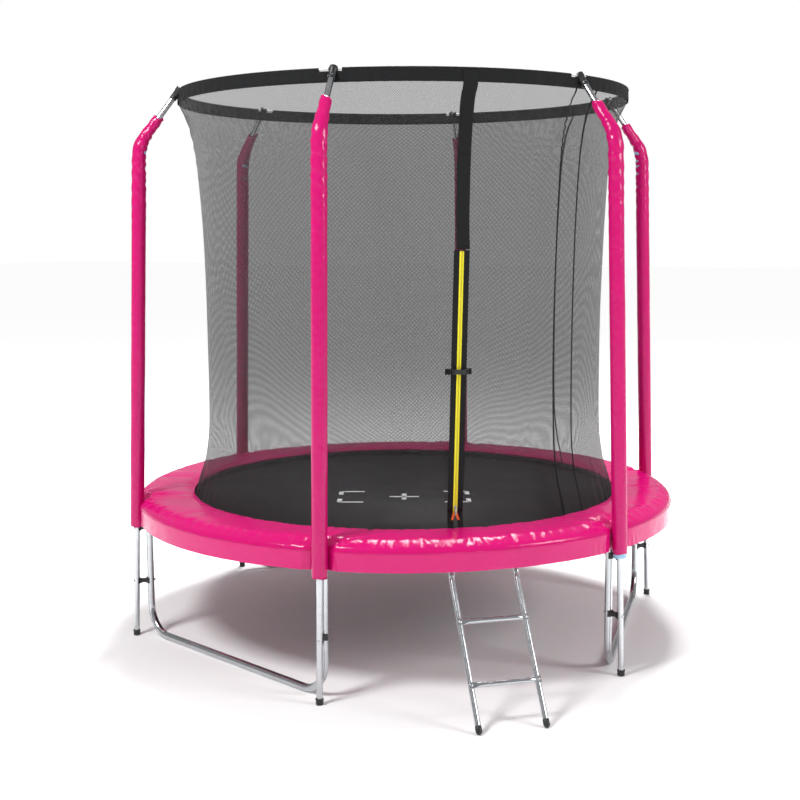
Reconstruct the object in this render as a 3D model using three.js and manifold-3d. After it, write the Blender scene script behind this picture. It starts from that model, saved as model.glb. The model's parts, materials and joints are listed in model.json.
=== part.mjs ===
// Round garden trampoline, 250 cm class, with an inner safety net and a hook-on ladder.
//
// Millimetres, +Z up, origin on the ground at the axis of the round frame. An azimuth is
// measured about +Z from -Y towards +X. The door and the ladder face azimuth 45.
// Six tube rails plug into one hoop. Three U-shaped legs carry it, and a net pole is bolted
// outside each leg upright. The mat hangs in the hoop on 48 springs, a foam pad in a PVC
// cover lies over them, and the net runs from a rod hoop at the pole tops down to the mat.

import * as THREE from 'three';
import { mergeVertices } from 'three/addons/utils/BufferGeometryUtils.js';
import Module from 'manifold-3d';

const wasm = await Module();
wasm.setup();

// ---------------------------------------------------------------- driving dimensions (mm)

const GAP = 0.3; // running gap between touching pieces
const DOOR_AZIMUTH = 45; // the door and the ladder
const POLES = 6; // net poles, leg uprights and top rails
const POLE_STEP = 360 / POLES;
const RING_SIDES = 36; // facets of every round hoop, with a corner at each pole
const RING_CORNER = 5; // azimuth of one of those corners
const TUBE_SIDES = 8;
const SMALL_SIDES = 12; // facets of feet and plugs
const BEND_STEPS = 4; // straight pieces in each bend of a tube

const FRAME_RADIUS = 1205; // tube centre of the top hoop
const FRAME_HEIGHT = 602;
const FRAME_TUBE = { outer: 16, inner: 14.5 };
const SPIGOT = { radius: 14.1, length: 55, root: 20 }; // swaged end inside the next rail
const SOCKET = { radius: 12.9, length: 80, sunk: 0.7 }; // stub under each rail, inside the leg
const PLUG = { proud: 0.6, back: 2 }; // closes a rail behind its spigot
const RAIL_END = { length: 400, half: 60 }; // the block that trims a rail square
const LEG_BEND = 130; // bend radius of a leg's two lower corners

const POLE_TUBE = { outer: 12.5, inner: 11.2 };
const POLE_FOOT_RADIUS = 1275; // pole axis at the ground
const POLE_LEAN = 1.9; // degrees inward, below the bend
const POLE_TOP_LEAN = 37; // degrees inward, above the bend
const POLE_BEND_HEIGHT = 2160.2;
const POLE_BEND_RADIUS = 180;
const SLEEVE = { outer: 31.5, inner: 13, bottom: 515, top: 2338 };
const FOOT = { outer: 15.5, bore: 13.7, height: 26, floor: 4 };
const SPACER = { radius: 11, height: 255 };

const ROD = { radius: 4, sides: 6, ring: 1020, height: 2458 }; // glass-fibre hoop at the pole tops
const CAP = {
  bore: 13.9, wall: 15.2, head: 17, socket: 42, shoulder: 46, length: 66, eye: 50,
  taper: 4, crown: 1, eyeRoom: 2, eyeHalf: 25.5,
};
const BAND = { inner: 1013.9, outer: 1026.1, cloth: 1.5, bottom: 2408, top: 2464.1 };
const BAND_NOTCH = { room: 3, past: 40 }; // where the band is cut away round a cap

const NET_CLOTH = 2.5;
const NET_PANELS = { count: 3, columns: 12, trim: 0.02 }; // trim in degrees at each side
const NET_DOOR = { width: 10, below: 6 }; // degrees round, and how far below the zip
// Height and radius of the net from the mat up to the rod: it is drawn in like an hourglass.
const NET_LEVELS = [
  [614, 984], [700, 962], [800, 934], [960, 914], [1760, 922],
  [2000, 933], [2200, 952], [2330, 979], [2404, 1018], [2425, 1020],
];

const MAT = { radius: 1040, top: 608, cloth: 4 };
const SPRINGS = { count: 48, inner: 1043, hoop: 1062, outer: 1181, width: 20, bottom: 598, tall: 16 };
const FOAM = { inner: 993.5, outer: 1213, bottom: 623.6, top: 643.5 };
const COVER = { inner: 991, outer: 1250.7, cloth: 2, bottom: 525, seam: 608, top: 645.8, lap: 1.5 };
const COVER_NOTCH = { radius: 35.5, height: 300 }; // room for a pole in its sleeve

const LADDER = { halfWidth: 132.5, tube: 11, bore: 9.5, neck: 500, foot: 1562, footHeight: 12.5 };
const HOOK = { inner: 18, strap: 3, width: 25, lip: 14, overlap: 14, facets: 6 };
const RUNG = {
  heights: [352, 151], radius: 10, forward: 8, clear: 3,
  plate: 3, plateHalf: 11, reach: 143, overlap: 24,
};
const LADDER_PLUG = { height: 22, room: 0.8, round: 0.7 };

const ZIP_LOW = { x: -42, out: 966, z: 705 }; // the zip's straight line on the door
const ZIP_HIGH = { x: -6, out: 938, z: 1760 };
const ZIP_TAPE = { width: 65, cloth: 2.2 };
const FLAP = { width: 56, cloth: 2.5, levels: [1764, 2000, 2200, 2330], top: 2455, under: 8, clear: 1 };
const SLIDER = { width: 11, tall: 18, thick: 7.7, height: 722, taper: 0.7 };
const PULL = { width: 8, tall: 32, thick: 1.6, above: 4 };
const BUCKLE = {
  height: 1275, half: 32, tall: 20, back: 13, front: 24, split: 4, prong: 19, wall: 3,
  slotEnd: 2, mouth: 5,
};
const BUCKLE_TAILS = { cloth: 2, lap: 1, left: { x: -95, out: 935 }, right: { x: 50, out: 942 } };

// ---------------------------------------------------------------- finishes

const STEEL = { color: 0xb9bcc0, roughness: 0.35, metalness: 0.9 };
const PINK = { color: 0xd0156f, roughness: 0.3, metalness: 0 };
const BLACK_PLASTIC = { color: 0x17181a, roughness: 0.5, metalness: 0 };
const BLACK_CLOTH = { color: 0x1b1c1f, roughness: 0.9, metalness: 0 };
const NET_CLOTH_FINISH = { color: 0x4a4b4e, roughness: 0.9, metalness: 0 };
const FOAM_FINISH = { color: 0xe8e6df, roughness: 1, metalness: 0 };
const FIBRE_FINISH = { color: 0xd9dad8, roughness: 0.5, metalness: 0 };
const YELLOW_CLOTH = { color: 0xd8cf1e, roughness: 0.8, metalness: 0 };

// ---------------------------------------------------------------- shape helpers

const rad = THREE.MathUtils.degToRad;
const point = (x, y, z) => new THREE.Vector3(x, y, z);

/** A path through given points, one sweep step to each, turning halfway at every point. */
class KnotPath extends THREE.Curve {
  constructor(knots) {
    super();
    this.knots = knots;
  }

  getPoint(t, target = new THREE.Vector3()) {
    const place = t * (this.knots.length - 1);
    const index = Math.min(Math.floor(place + 1e-6), this.knots.length - 2);
    return target.copy(this.knots[index]).lerp(this.knots[index + 1], place - index);
  }

  getTangent(t, target = new THREE.Vector3()) {
    const last = this.knots.length - 1;
    const index = Math.round(t * last);
    const before = this.knots[Math.max(index - 1, 0)];
    const here = this.knots[index];
    const after = this.knots[Math.min(index + 1, last)];
    const into = here.clone().sub(before).normalize();
    const out = after.clone().sub(here).normalize();
    return target.copy(into).add(out).normalize();
  }

  getUtoTmapping(u) {
    return u;
  }
}

/** A regular polygon outline, as points. */
function polygon(radius, sides) {
  const corners = [];
  for (let i = 0; i < sides; i += 1) {
    const angle = (2 * Math.PI * i) / sides;
    corners.push(new THREE.Vector2(radius * Math.cos(angle), radius * Math.sin(angle)));
  }
  return corners;
}

/** A round bar, or a tube when a bore is given, swept through the knots. */
function sweep(knots, radius, bore = 0, sides = TUBE_SIDES) {
  const section = new THREE.Shape(polygon(radius, sides));
  if (bore > 0) section.holes.push(new THREE.Path(polygon(bore, sides)));
  return new THREE.ExtrudeGeometry(section, {
    steps: knots.length - 1,
    bevelEnabled: false,
    extrudePath: new KnotPath(knots),
  });
}

/** Turns a closed mesh so that its faces point outwards. */
function outward(geometry) {
  const mesh = weld(geometry);
  const place = mesh.attributes.position;
  const index = mesh.index.array;
  const [a, b, c] = [point(), point(), point()];
  let volume = 0;
  for (let i = 0; i < index.length; i += 3) {
    a.fromBufferAttribute(place, index[i]);
    b.fromBufferAttribute(place, index[i + 1]);
    c.fromBufferAttribute(place, index[i + 2]);
    volume += a.dot(b.cross(c));
  }
  if (volume < 0) {
    for (let i = 0; i < index.length; i += 3) {
      [index[i + 1], index[i + 2]] = [index[i + 2], index[i + 1]];
    }
  }
  return mesh;
}

/** The same mesh with only positions, and its shared corners merged. */
function weld(geometry) {
  const mesh = geometry.clone();
  mesh.deleteAttribute('normal');
  mesh.deleteAttribute('uv');
  return mergeVertices(mesh, 1e-3);
}

/** A closed outline of [radius, height] pairs turned about +Z. */
function turned(profile, sides = RING_SIDES, firstCorner = RING_CORNER) {
  const outline = profile.map(([r, z]) => new THREE.Vector2(r, z));
  if (profile[0][0] > 0) outline.push(outline[0].clone());
  const geometry = new THREE.LatheGeometry(outline, sides, rad(firstCorner));
  return outward(geometry.rotateX(Math.PI / 2));
}

/** A block between two corners. */
function block(low, high) {
  const size = high.map((value, axis) => value - low[axis]);
  const centre = high.map((value, axis) => (value + low[axis]) / 2);
  return new THREE.BoxGeometry(...size).translate(...centre);
}

/** A grid of cells bent into a sheet: bend(u, v, w) gives each corner, w being the thickness. */
function bentSheet(columns, rows, bend) {
  const geometry = new THREE.BoxGeometry(1, 1, 1, columns, 1, rows);
  const place = geometry.attributes.position;
  for (let i = 0; i < place.count; i += 1) {
    const [x, y, z] = bend(place.getX(i) + 0.5, place.getZ(i) + 0.5, place.getY(i) + 0.5);
    place.setXYZ(i, x, y, z);
  }
  return outward(geometry);
}

function toSolid(geometry) {
  const mesh = weld(geometry);
  return new wasm.Manifold(new wasm.Mesh({
    numProp: 3,
    vertProperties: new Float32Array(mesh.attributes.position.array),
    triVerts: new Uint32Array(mesh.index.array),
  }));
}

function toGeometry(solid) {
  const mesh = solid.getMesh();
  const geometry = new THREE.BufferGeometry();
  geometry.setAttribute('position', new THREE.BufferAttribute(mesh.vertProperties, 3));
  geometry.setIndex(new THREE.BufferAttribute(mesh.triVerts, 1));
  geometry.computeVertexNormals();
  return geometry;
}

const join = (...pieces) => toGeometry(
  pieces.map(toSolid).reduce((whole, piece) => whole.add(piece)),
);
const cut = (body, ...tools) => toGeometry(
  tools.map(toSolid).reduce((whole, tool) => whole.subtract(tool), toSolid(body)),
);

/** A point at an azimuth on a round hoop. */
const onRing = (azimuth, radius, z) => point(
  radius * Math.sin(rad(azimuth)), -radius * Math.cos(rad(azimuth)), z,
);

/** The corners of a round hoop between two azimuths. */
function ringKnots(from, to, radius, z) {
  const step = 360 / RING_SIDES;
  const knots = [];
  for (let azimuth = from; azimuth <= to + 1e-6; azimuth += step) {
    knots.push(onRing(azimuth, radius, z));
  }
  return knots;
}

// ---------------------------------------------------------------- the scene

const trampoline = new THREE.Group();

/** Adds a named piece, built facing azimuth 0, and turns it to its own azimuth. */
function add(name, geometry, finish, azimuth = 0) {
  const mesh = new THREE.Mesh(geometry, new THREE.MeshStandardMaterial(finish));
  mesh.name = name;
  mesh.rotation.z = rad(azimuth);
  trampoline.add(mesh);
}

const poleAzimuth = (index) => DOOR_AZIMUTH + POLE_STEP * (index - 0.5);

// ---------------------------------------------------------------- hoop and legs

/** One rail of the hoop: a curved tube, its swaged end and the leg socket under its middle. */
function topRail() {
  const half = POLE_STEP / 2;
  const step = 360 / RING_SIDES;
  const long = sweep(
    ringKnots(-half - step, half + step, FRAME_RADIUS, FRAME_HEIGHT),
    FRAME_TUBE.outer,
    FRAME_TUBE.inner,
  );
  const end = onRing(half, FRAME_RADIUS, FRAME_HEIGHT);
  const before = onRing(half - step, FRAME_RADIUS, FRAME_HEIGHT).sub(end).normalize();
  const after = onRing(half + step, FRAME_RADIUS, FRAME_HEIGHT).sub(end).normalize();
  const root = end.clone().addScaledVector(before, SPIGOT.root);
  const tip = end.clone().addScaledVector(after, SPIGOT.length);
  const rootPlug = sweep(
    [root, end.clone().addScaledVector(before, PLUG.back)],
    FRAME_TUBE.inner + PLUG.proud);
  const spigot = sweep([root, end, tip], SPIGOT.radius);
  const socket = sweep([
    point(0, -FRAME_RADIUS, FRAME_HEIGHT - FRAME_TUBE.inner - SOCKET.sunk),
    point(0, -FRAME_RADIUS, FRAME_HEIGHT - FRAME_TUBE.outer - SOCKET.length),
  ], SOCKET.radius);
  const tube = cut(long, railEndTool(-half, -RAIL_END.length, GAP), railEndTool(half, 0, RAIL_END.length));
  return join(tube, rootPlug, spigot, socket);
}

/** A block that trims a rail square to the hoop at an azimuth. */
function railEndTool(azimuth, from, to) {
  return block(
    [from, -FRAME_RADIUS - RAIL_END.half, FRAME_HEIGHT - RAIL_END.half],
    [to, -FRAME_RADIUS + RAIL_END.half, FRAME_HEIGHT + RAIL_END.half],
  ).rotateZ(rad(azimuth));
}

/** A leg: two uprights and the ground tube, bent from one length of tube. */
function legBase() {
  const halfSpan = FRAME_RADIUS * Math.sin(rad(POLE_STEP / 2));
  const y = -FRAME_RADIUS * Math.cos(rad(POLE_STEP / 2));
  const low = FRAME_TUBE.outer;
  const top = FRAME_HEIGHT - FRAME_TUBE.outer - GAP * 2;
  const left = [point(-halfSpan, y, top)];
  for (let i = 0; i <= BEND_STEPS; i += 1) {
    const angle = (Math.PI / 2) * (i / BEND_STEPS);
    left.push(point(
      -halfSpan + LEG_BEND * (1 - Math.cos(angle)), y, low + LEG_BEND * (1 - Math.sin(angle)),
    ));
  }
  const right = left.map((p) => point(-p.x, p.y, p.z)).reverse();
  return sweep([...left, ...right], FRAME_TUBE.outer, FRAME_TUBE.inner);
}

// ---------------------------------------------------------------- poles

/** The pole's axis as [radius, height] points, from the ground to the rod. */
function poleAxis() {
  const lean = rad(POLE_LEAN);
  const topLean = rad(POLE_TOP_LEAN);
  const radiusAt = POLE_FOOT_RADIUS - POLE_BEND_HEIGHT * Math.tan(lean);
  const centre = [
    radiusAt - POLE_BEND_RADIUS * Math.cos(lean),
    POLE_BEND_HEIGHT - POLE_BEND_RADIUS * Math.sin(lean),
  ];
  const axis = [[POLE_FOOT_RADIUS, 0]];
  for (let i = 0; i <= BEND_STEPS; i += 1) {
    const angle = lean + (topLean - lean) * (i / BEND_STEPS);
    axis.push([
      centre[0] + POLE_BEND_RADIUS * Math.cos(angle),
      centre[1] + POLE_BEND_RADIUS * Math.sin(angle),
    ]);
  }
  axis.push([ROD.ring, ROD.height]);
  return axis;
}

/** The stretch of the pole's axis between two heights, as points of a sweep. */
function poleStretch(from, to) {
  const axis = poleAxis();
  const at = (height) => {
    const upper = Math.max(axis.findIndex(([, z]) => z >= height), 1);
    const [r0, z0] = axis[upper - 1];
    const [r1, z1] = axis[upper];
    return [r0 + ((r1 - r0) * (height - z0)) / (z1 - z0), height];
  };
  const inside = axis.filter(([, z]) => z > from + 1 && z < to - 1);
  return [at(from), ...inside, at(to)].map(([r, z]) => point(0, -r, z));
}

const poleTop = ROD.height - (CAP.eye - CAP.socket + 1) * Math.cos(rad(POLE_TOP_LEAN));
const pole = () => sweep(poleStretch(FOOT.floor + 1, poleTop), POLE_TUBE.outer, POLE_TUBE.inner);
const poleSleeve = () => sweep(poleStretch(SLEEVE.bottom, SLEEVE.top), SLEEVE.outer, SLEEVE.inner);

/** The direction of the pole's last straight stretch, which the cap sits on. */
function topDirection() {
  const knots = poleStretch(0, ROD.height);
  return knots.at(-1).clone().sub(knots.at(-2)).normalize();
}

/** Stands a piece built up +Z on the pole's end, its foot CAP.eye below the rod. */
function ontoPoleEnd(geometry) {
  const turn = new THREE.Quaternion().setFromUnitVectors(point(0, 0, 1), topDirection());
  const foot = point(0, -ROD.ring, ROD.height).addScaledVector(topDirection(), -CAP.eye);
  return geometry.applyQuaternion(turn).translate(foot.x, foot.y, foot.z);
}

/** The plug on a pole's end: a socket over the tube and a head with an eye for the rod. */
function poleCap() {
  const body = ontoPoleEnd(turned([
    [0, CAP.socket], [CAP.bore, CAP.socket], [CAP.bore, 0], [CAP.wall, 0],
    [CAP.wall, CAP.shoulder - CAP.taper], [CAP.head, CAP.shoulder],
    [CAP.head - CAP.crown, CAP.length - CAP.taper],
    [0, CAP.length],
  ], TUBE_SIDES, 0));
  const eye = sweep([
    point(-CAP.eyeHalf, -ROD.ring, ROD.height), point(CAP.eyeHalf, -ROD.ring, ROD.height),
  ], ROD.radius + CAP.eyeRoom);
  return cut(body, eye);
}

/** The cup under a pole, flat on the ground. */
function poleFoot() {
  const cup = turned([
    [0, 0], [FOOT.outer, 0], [FOOT.outer, FOOT.height], [FOOT.bore, FOOT.height],
    [FOOT.bore, FOOT.floor], [0, FOOT.floor],
  ], SMALL_SIDES, 0);
  const middle = POLE_FOOT_RADIUS - (FOOT.height / 2) * Math.tan(rad(POLE_LEAN));
  return cup.translate(0, -middle, 0);
}

/** The distance piece between a leg upright and its pole. */
function legSpacer() {
  const poleRadius = POLE_FOOT_RADIUS - SPACER.height * Math.tan(rad(POLE_LEAN));
  return sweep([
    point(0, -(FRAME_RADIUS + FRAME_TUBE.outer + GAP), SPACER.height),
    point(0, -(poleRadius - POLE_TUBE.outer - 2 * GAP), SPACER.height),
  ], SPACER.radius);
}

// ---------------------------------------------------------------- net, rod and band

/** The zip line's distance from the axis at a height. */
const zipOut = (z) => ZIP_LOW.out
  + ((ZIP_HIGH.out - ZIP_LOW.out) * (z - ZIP_LOW.z)) / (ZIP_HIGH.z - ZIP_LOW.z);
const zipSide = (z) => ZIP_LOW.x
  + ((ZIP_HIGH.x - ZIP_LOW.x) * (z - ZIP_LOW.z)) / (ZIP_HIGH.z - ZIP_LOW.z);

/** The net's radius at one of its levels, pulled out to the straight zip near the door. */
function levelRadius(fromDoor, [z, free]) {
  if (z < ZIP_LOW.z - NET_DOOR.below || z > ZIP_HIGH.z) return free;
  const behindTape = zipOut(z) - ZIP_TAPE.cloth - NET_CLOTH;
  return free + (behindTape - free) * Math.exp(-((fromDoor / NET_DOOR.width) ** 2));
}

/** The net's radius at any height, straight between its levels. */
function netRadius(fromDoor, z) {
  const upper = Math.max(NET_LEVELS.findIndex(([level]) => level >= z), 1);
  const [below, above] = [NET_LEVELS[upper - 1], NET_LEVELS[upper]];
  const part = (z - below[0]) / (above[0] - below[0]);
  return THREE.MathUtils.lerp(
    levelRadius(fromDoor, below),
    levelRadius(fromDoor, above),
    part,
  );
}

/** One of the net's three widths, from the mat up into the band. */
function netPanel(index) {
  const span = 360 / NET_PANELS.count;
  const start = index * span;
  const trim = rad(NET_PANELS.trim);
  return bentSheet(NET_PANELS.columns, NET_LEVELS.length - 1, (u, v, w) => {
    const level = NET_LEVELS[Math.round(v * (NET_LEVELS.length - 1))];
    const fromDoor = Math.min(start + u * span, 360 - start - u * span);
    const radius = levelRadius(fromDoor, level) + (w - 0.5) * NET_CLOTH;
    let angle = rad(start + u * span);
    if (u < 1e-6) angle += trim;
    if (u > 1 - 1e-6) angle -= trim;
    return [radius * Math.sin(angle), -radius * Math.cos(angle), level[0]];
  });
}

/** The rod hoop, closed on itself. */
function ringRod() {
  const section = polygon(ROD.radius, ROD.sides);
  return turned(section.map(({ x, y }) => [ROD.ring + x, ROD.height + y]));
}

/** The cloth channel round the rod, open below for the net and cut away at the pole ends. */
function netBand() {
  const { inner, outer, cloth, bottom, top } = BAND;
  const band = turned([
    [inner, bottom], [inner + cloth, bottom], [inner + cloth, top - cloth],
    [outer - cloth, top - cloth], [outer - cloth, bottom], [outer, bottom],
    [outer, top], [inner, top],
  ]);
  const room = CAP.head + BAND_NOTCH.room;
  const tools = [];
  for (let i = 0; i < POLES; i += 1) {
    const tool = new THREE.CylinderGeometry(room, room, CAP.length + BAND_NOTCH.past, TUBE_SIDES)
      .rotateX(Math.PI / 2)
      .translate(0, 0, CAP.length / 2);
    tools.push(ontoPoleEnd(tool).rotateZ(rad(poleAzimuth(i))));
  }
  return cut(band, ...tools);
}

// ---------------------------------------------------------------- mat, springs and pad

const jumpMat = () => turned([
  [0, MAT.top - MAT.cloth], [MAT.radius, MAT.top - MAT.cloth], [MAT.radius, MAT.top], [0, MAT.top],
]);

/** The spring set: a hoop for the mat's rings with one plain arm for each spring. */
function springSet() {
  const at = (azimuth, radius, side) => {
    const a = rad(azimuth);
    return new THREE.Vector2(
      radius * Math.sin(a) + side * Math.cos(a), -radius * Math.cos(a) + side * Math.sin(a),
    );
  };
  const outline = [];
  const pitch = 360 / SPRINGS.count;
  for (let i = 0; i < SPRINGS.count; i += 1) {
    const azimuth = DOOR_AZIMUTH + pitch * (i + 0.5);
    for (const [radius, side] of [
      [SPRINGS.hoop, -1], [SPRINGS.outer, -1], [SPRINGS.outer, 1], [SPRINGS.hoop, 1],
    ]) {
      outline.push(at(azimuth, radius, (side * SPRINGS.width) / 2));
    }
  }
  const shape = new THREE.Shape(outline);
  const hole = [];
  for (let i = 0; i < RING_SIDES; i += 1) {
    hole.push(at(RING_CORNER + (360 / RING_SIDES) * i, SPRINGS.inner, 0));
  }
  shape.holes.push(new THREE.Path(hole));
  return new THREE.ExtrudeGeometry(shape, { depth: SPRINGS.tall, bevelEnabled: false })
    .translate(0, 0, SPRINGS.bottom);
}

const padFoam = () => turned([
  [FOAM.inner, FOAM.bottom], [FOAM.outer, FOAM.bottom],
  [FOAM.outer, FOAM.top], [FOAM.inner, FOAM.top],
]);

/** The pad's cover: over the foam, down past the hoop, notched where the poles pass. */
function padCover() {
  const { inner, outer, cloth, bottom, seam, top, lap } = COVER;
  const shoulder = FOAM.outer + cloth;
  const cover = turned([
    [inner, FOAM.bottom - lap], [inner + cloth, FOAM.bottom - lap],
    [inner + cloth, top - cloth], [shoulder - cloth / 2, top - cloth],
    [outer - cloth, seam - cloth / 2], [outer - cloth, bottom], [outer, bottom], [outer, seam],
    [shoulder, top], [inner, top],
  ]);
  const { radius, height } = COVER_NOTCH;
  const notches = [];
  const poleRadius = POLE_FOOT_RADIUS - FRAME_HEIGHT * Math.tan(rad(POLE_LEAN));
  for (let i = 0; i < POLES; i += 1) {
    notches.push(new THREE.CylinderGeometry(radius, radius, height, TUBE_SIDES)
      .rotateX(Math.PI / 2).translate(0, -poleRadius, FRAME_HEIGHT)
      .rotateZ(rad(poleAzimuth(i))));
  }
  return cut(cover, ...notches);
}

// ---------------------------------------------------------------- ladder

// the hoop's tube runs inwards from its corner at the door to where the hooks sit on it
const hookOut = FRAME_RADIUS - LADDER.halfWidth * Math.tan(rad(180 / RING_SIDES));
const neckOut = hookOut + HOOK.inner + HOOK.strap / 2;
const railFoot = point(0, -LADDER.foot, LADDER.footHeight);
const railNeck = point(0, -neckOut, LADDER.neck);
const railRise = railNeck.clone().sub(railFoot).normalize();
const railFront = point(0, -railRise.z, railRise.y); // square to the ladder, facing out

/** A point on the ladder's rail line at a height. */
const onRail = (z) => railFoot.clone().addScaledVector(railRise, (z - railFoot.z) / railRise.z);

/** One rail: a tube with a flat hook over the hoop. */
function ladderRail(side) {
  const tube = sweep([railFoot, railNeck], LADDER.tube, LADDER.bore);
  const outer = HOOK.inner + HOOK.strap;
  const hook = new THREE.Shape();
  hook.moveTo(outer, LADDER.neck - FRAME_HEIGHT - HOOK.overlap);
  hook.lineTo(outer, 0);
  hook.absarc(0, 0, outer, 0, Math.PI, false);
  hook.lineTo(-outer, -HOOK.lip);
  hook.lineTo(-HOOK.inner, -HOOK.lip);
  hook.lineTo(-HOOK.inner, 0);
  hook.absarc(0, 0, HOOK.inner, Math.PI, 0, true);
  hook.lineTo(HOOK.inner, LADDER.neck - FRAME_HEIGHT - HOOK.overlap);
  const strap = new THREE.ExtrudeGeometry(hook, {
    depth: HOOK.width, bevelEnabled: false, curveSegments: HOOK.facets,
  }).translate(0, 0, -HOOK.width / 2);
  // the outline's x runs out from the hoop and its y runs up
  strap.applyMatrix4(new THREE.Matrix4().makeBasis(point(0, -1, 0), point(0, 0, 1), point(-1, 0, 0)));
  strap.translate(0, -hookOut, FRAME_HEIGHT);
  return join(tube, strap).translate(side * LADDER.halfWidth, 0, 0);
}

/** One rung: a round bar whose flattened ends lie on the front of both rails. */
function ladderRung(height) {
  const centre = onRail(height);
  const bar = centre.clone().addScaledVector(railFront, RUNG.forward);
  const inner = LADDER.halfWidth - LADDER.tube - RUNG.clear;
  const tube = sweep([point(-inner, bar.y, bar.z), point(inner, bar.y, bar.z)], RUNG.radius);
  const plates = [-1, 1].map((side) => {
    const [a, b] = [side * (inner - RUNG.overlap), side * RUNG.reach].sort((p, q) => p - q);
    const plate = block([a, -RUNG.plateHalf, 0], [b, RUNG.plateHalf, RUNG.plate]);
    const basis = new THREE.Matrix4().makeBasis(point(1, 0, 0), railRise, railFront.clone());
    const lift = centre.clone().addScaledVector(railFront, LADDER.tube + GAP);
    return plate.applyMatrix4(basis).translate(0, lift.y, lift.z);
  });
  return join(tube, ...plates);
}

/** The plug on a rail's lower end, round below where it meets the ground. */
function ladderFoot(side) {
  const radius = LADDER.footHeight;
  const bore = LADDER.tube + LADDER_PLUG.room;
  const { height, round } = LADDER_PLUG;
  const plug = turned([
    [0, -radius], [radius * round, -radius * round], [radius, 0], [radius, height],
    [bore, height], [bore, -GAP * 2], [0, -GAP * 2],
  ], SMALL_SIDES, 0);
  const turn = new THREE.Quaternion().setFromUnitVectors(point(0, 0, 1), railRise);
  return plug.applyQuaternion(turn)
    .translate(side * LADDER.halfWidth, railFoot.y, railFoot.z);
}

// ---------------------------------------------------------------- door

const zipPoint = (z, ahead = 0) => point(zipSide(z), -(zipOut(z) + ahead), z);
const zipRise = zipPoint(ZIP_HIGH.z).sub(zipPoint(ZIP_LOW.z)).normalize();

/** Lays a piece built with x across, -y out and z up the zip onto the zip line. */
function ontoZip(geometry, z) {
  const across = point(1, 0, 0).addScaledVector(zipRise, -zipRise.x).normalize();
  const inward = zipRise.clone().cross(across);
  const origin = zipPoint(z);
  const basis = new THREE.Matrix4().makeBasis(across, inward, zipRise);
  return geometry.applyMatrix4(basis).translate(origin.x, origin.y, origin.z);
}

/** The straight zip tape on the lower door. */
function doorZip() {
  const length = zipPoint(ZIP_HIGH.z).distanceTo(zipPoint(ZIP_LOW.z));
  const half = ZIP_TAPE.width / 2;
  return ontoZip(block([-half, 0, 0], [half, ZIP_TAPE.cloth, length]), ZIP_LOW.z);
}

/** The cover strip on the upper door, from the zip's end up over the band. */
function doorFlap() {
  const back = [
    ...FLAP.levels.map((z) => [z, netRadius(0, z) + NET_CLOTH]),
    [BAND.bottom - FLAP.under, BAND.outer + FLAP.clear],
    [FLAP.top, BAND.outer + FLAP.clear],
  ];
  return bentSheet(2, back.length - 1, (u, v, w) => {
    const [z, out] = back[Math.round(v * (back.length - 1))];
    return [(u - 0.5) * FLAP.width, -(out + w * FLAP.cloth), z];
  });
}

/** The zip's slider, a wedge-shaped block just clear of the tape. */
function zipSlider() {
  const { width, tall, thick } = SLIDER;
  const body = block([-width / 2, -thick, -tall / 2], [width / 2, -GAP, tall / 2]);
  const place = body.attributes.position;
  for (let i = 0; i < place.count; i += 1) {
    if (place.getZ(i) < 0) place.setX(i, place.getX(i) * SLIDER.taper);
  }
  return ontoZip(body, SLIDER.height);
}

/** The zip's pull tab, hanging in front of the slider from its upper end. */
function zipPull() {
  const { width, tall, thick, above } = PULL;
  const near = SLIDER.thick + GAP;
  const tab = block([-width / 2, -near - thick, above - tall], [width / 2, -near, above]);
  return ontoZip(tab, SLIDER.height);
}

/** A webbing end that runs back from a buckle half to the net beside the door. */
function buckleTail(fromX, end) {
  const out = zipOut(BUCKLE.height);
  const start = out + (BUCKLE.back + BUCKLE.front) / 2;
  const half = BUCKLE.tall / 2;
  const lap = BUCKLE_TAILS.lap * Math.sign(end.x - fromX);
  return bentSheet(1, 1, (u, v, w) => [
    fromX - lap + (end.x - fromX + lap) * u,
    -(start + (end.out - start) * u + (w - 0.5) * BUCKLE_TAILS.cloth),
    BUCKLE.height - half + v * 2 * half,
  ]);
}

/** The buckle's left half, a block with a slot, on its webbing. */
function buckleSocket() {
  const middle = zipSide(BUCKLE.height);
  const out = zipOut(BUCKLE.height);
  const { wall } = BUCKLE;
  const half = BUCKLE.tall / 2;
  const low = BUCKLE.height - half;
  const high = BUCKLE.height + half;
  const body = block(
    [middle - BUCKLE.half, -(out + BUCKLE.front), low],
    [middle + BUCKLE.split, -(out + BUCKLE.back), high],
  );
  const slot = block(
    [middle + BUCKLE.split - BUCKLE.prong - BUCKLE.slotEnd, -(out + BUCKLE.front - wall), low + wall],
    [middle + BUCKLE.split + BUCKLE.mouth, -(out + BUCKLE.back + wall), high - wall],
  );
  const tail = buckleTail(middle - BUCKLE.half, BUCKLE_TAILS.left);
  return join(cut(body, slot), tail);
}

/** The buckle's right half, a block with a prong in the slot, on its webbing. */
function buckleTongue() {
  const middle = zipSide(BUCKLE.height);
  const out = zipOut(BUCKLE.height);
  const half = BUCKLE.tall / 2;
  const split = middle + BUCKLE.split + GAP;
  const room = BUCKLE.wall + GAP;
  const body = block(
    [split, -(out + BUCKLE.front), BUCKLE.height - half],
    [middle + BUCKLE.half, -(out + BUCKLE.back), BUCKLE.height + half],
  );
  const prong = block(
    [split - BUCKLE.prong, -(out + BUCKLE.front - room), BUCKLE.height - half + room],
    [split + BUCKLE.slotEnd, -(out + BUCKLE.back + room), BUCKLE.height + half - room],
  );
  const tail = buckleTail(middle + BUCKLE.half, BUCKLE_TAILS.right);
  return join(body, prong, tail);
}

// ---------------------------------------------------------------- assembly

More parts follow.
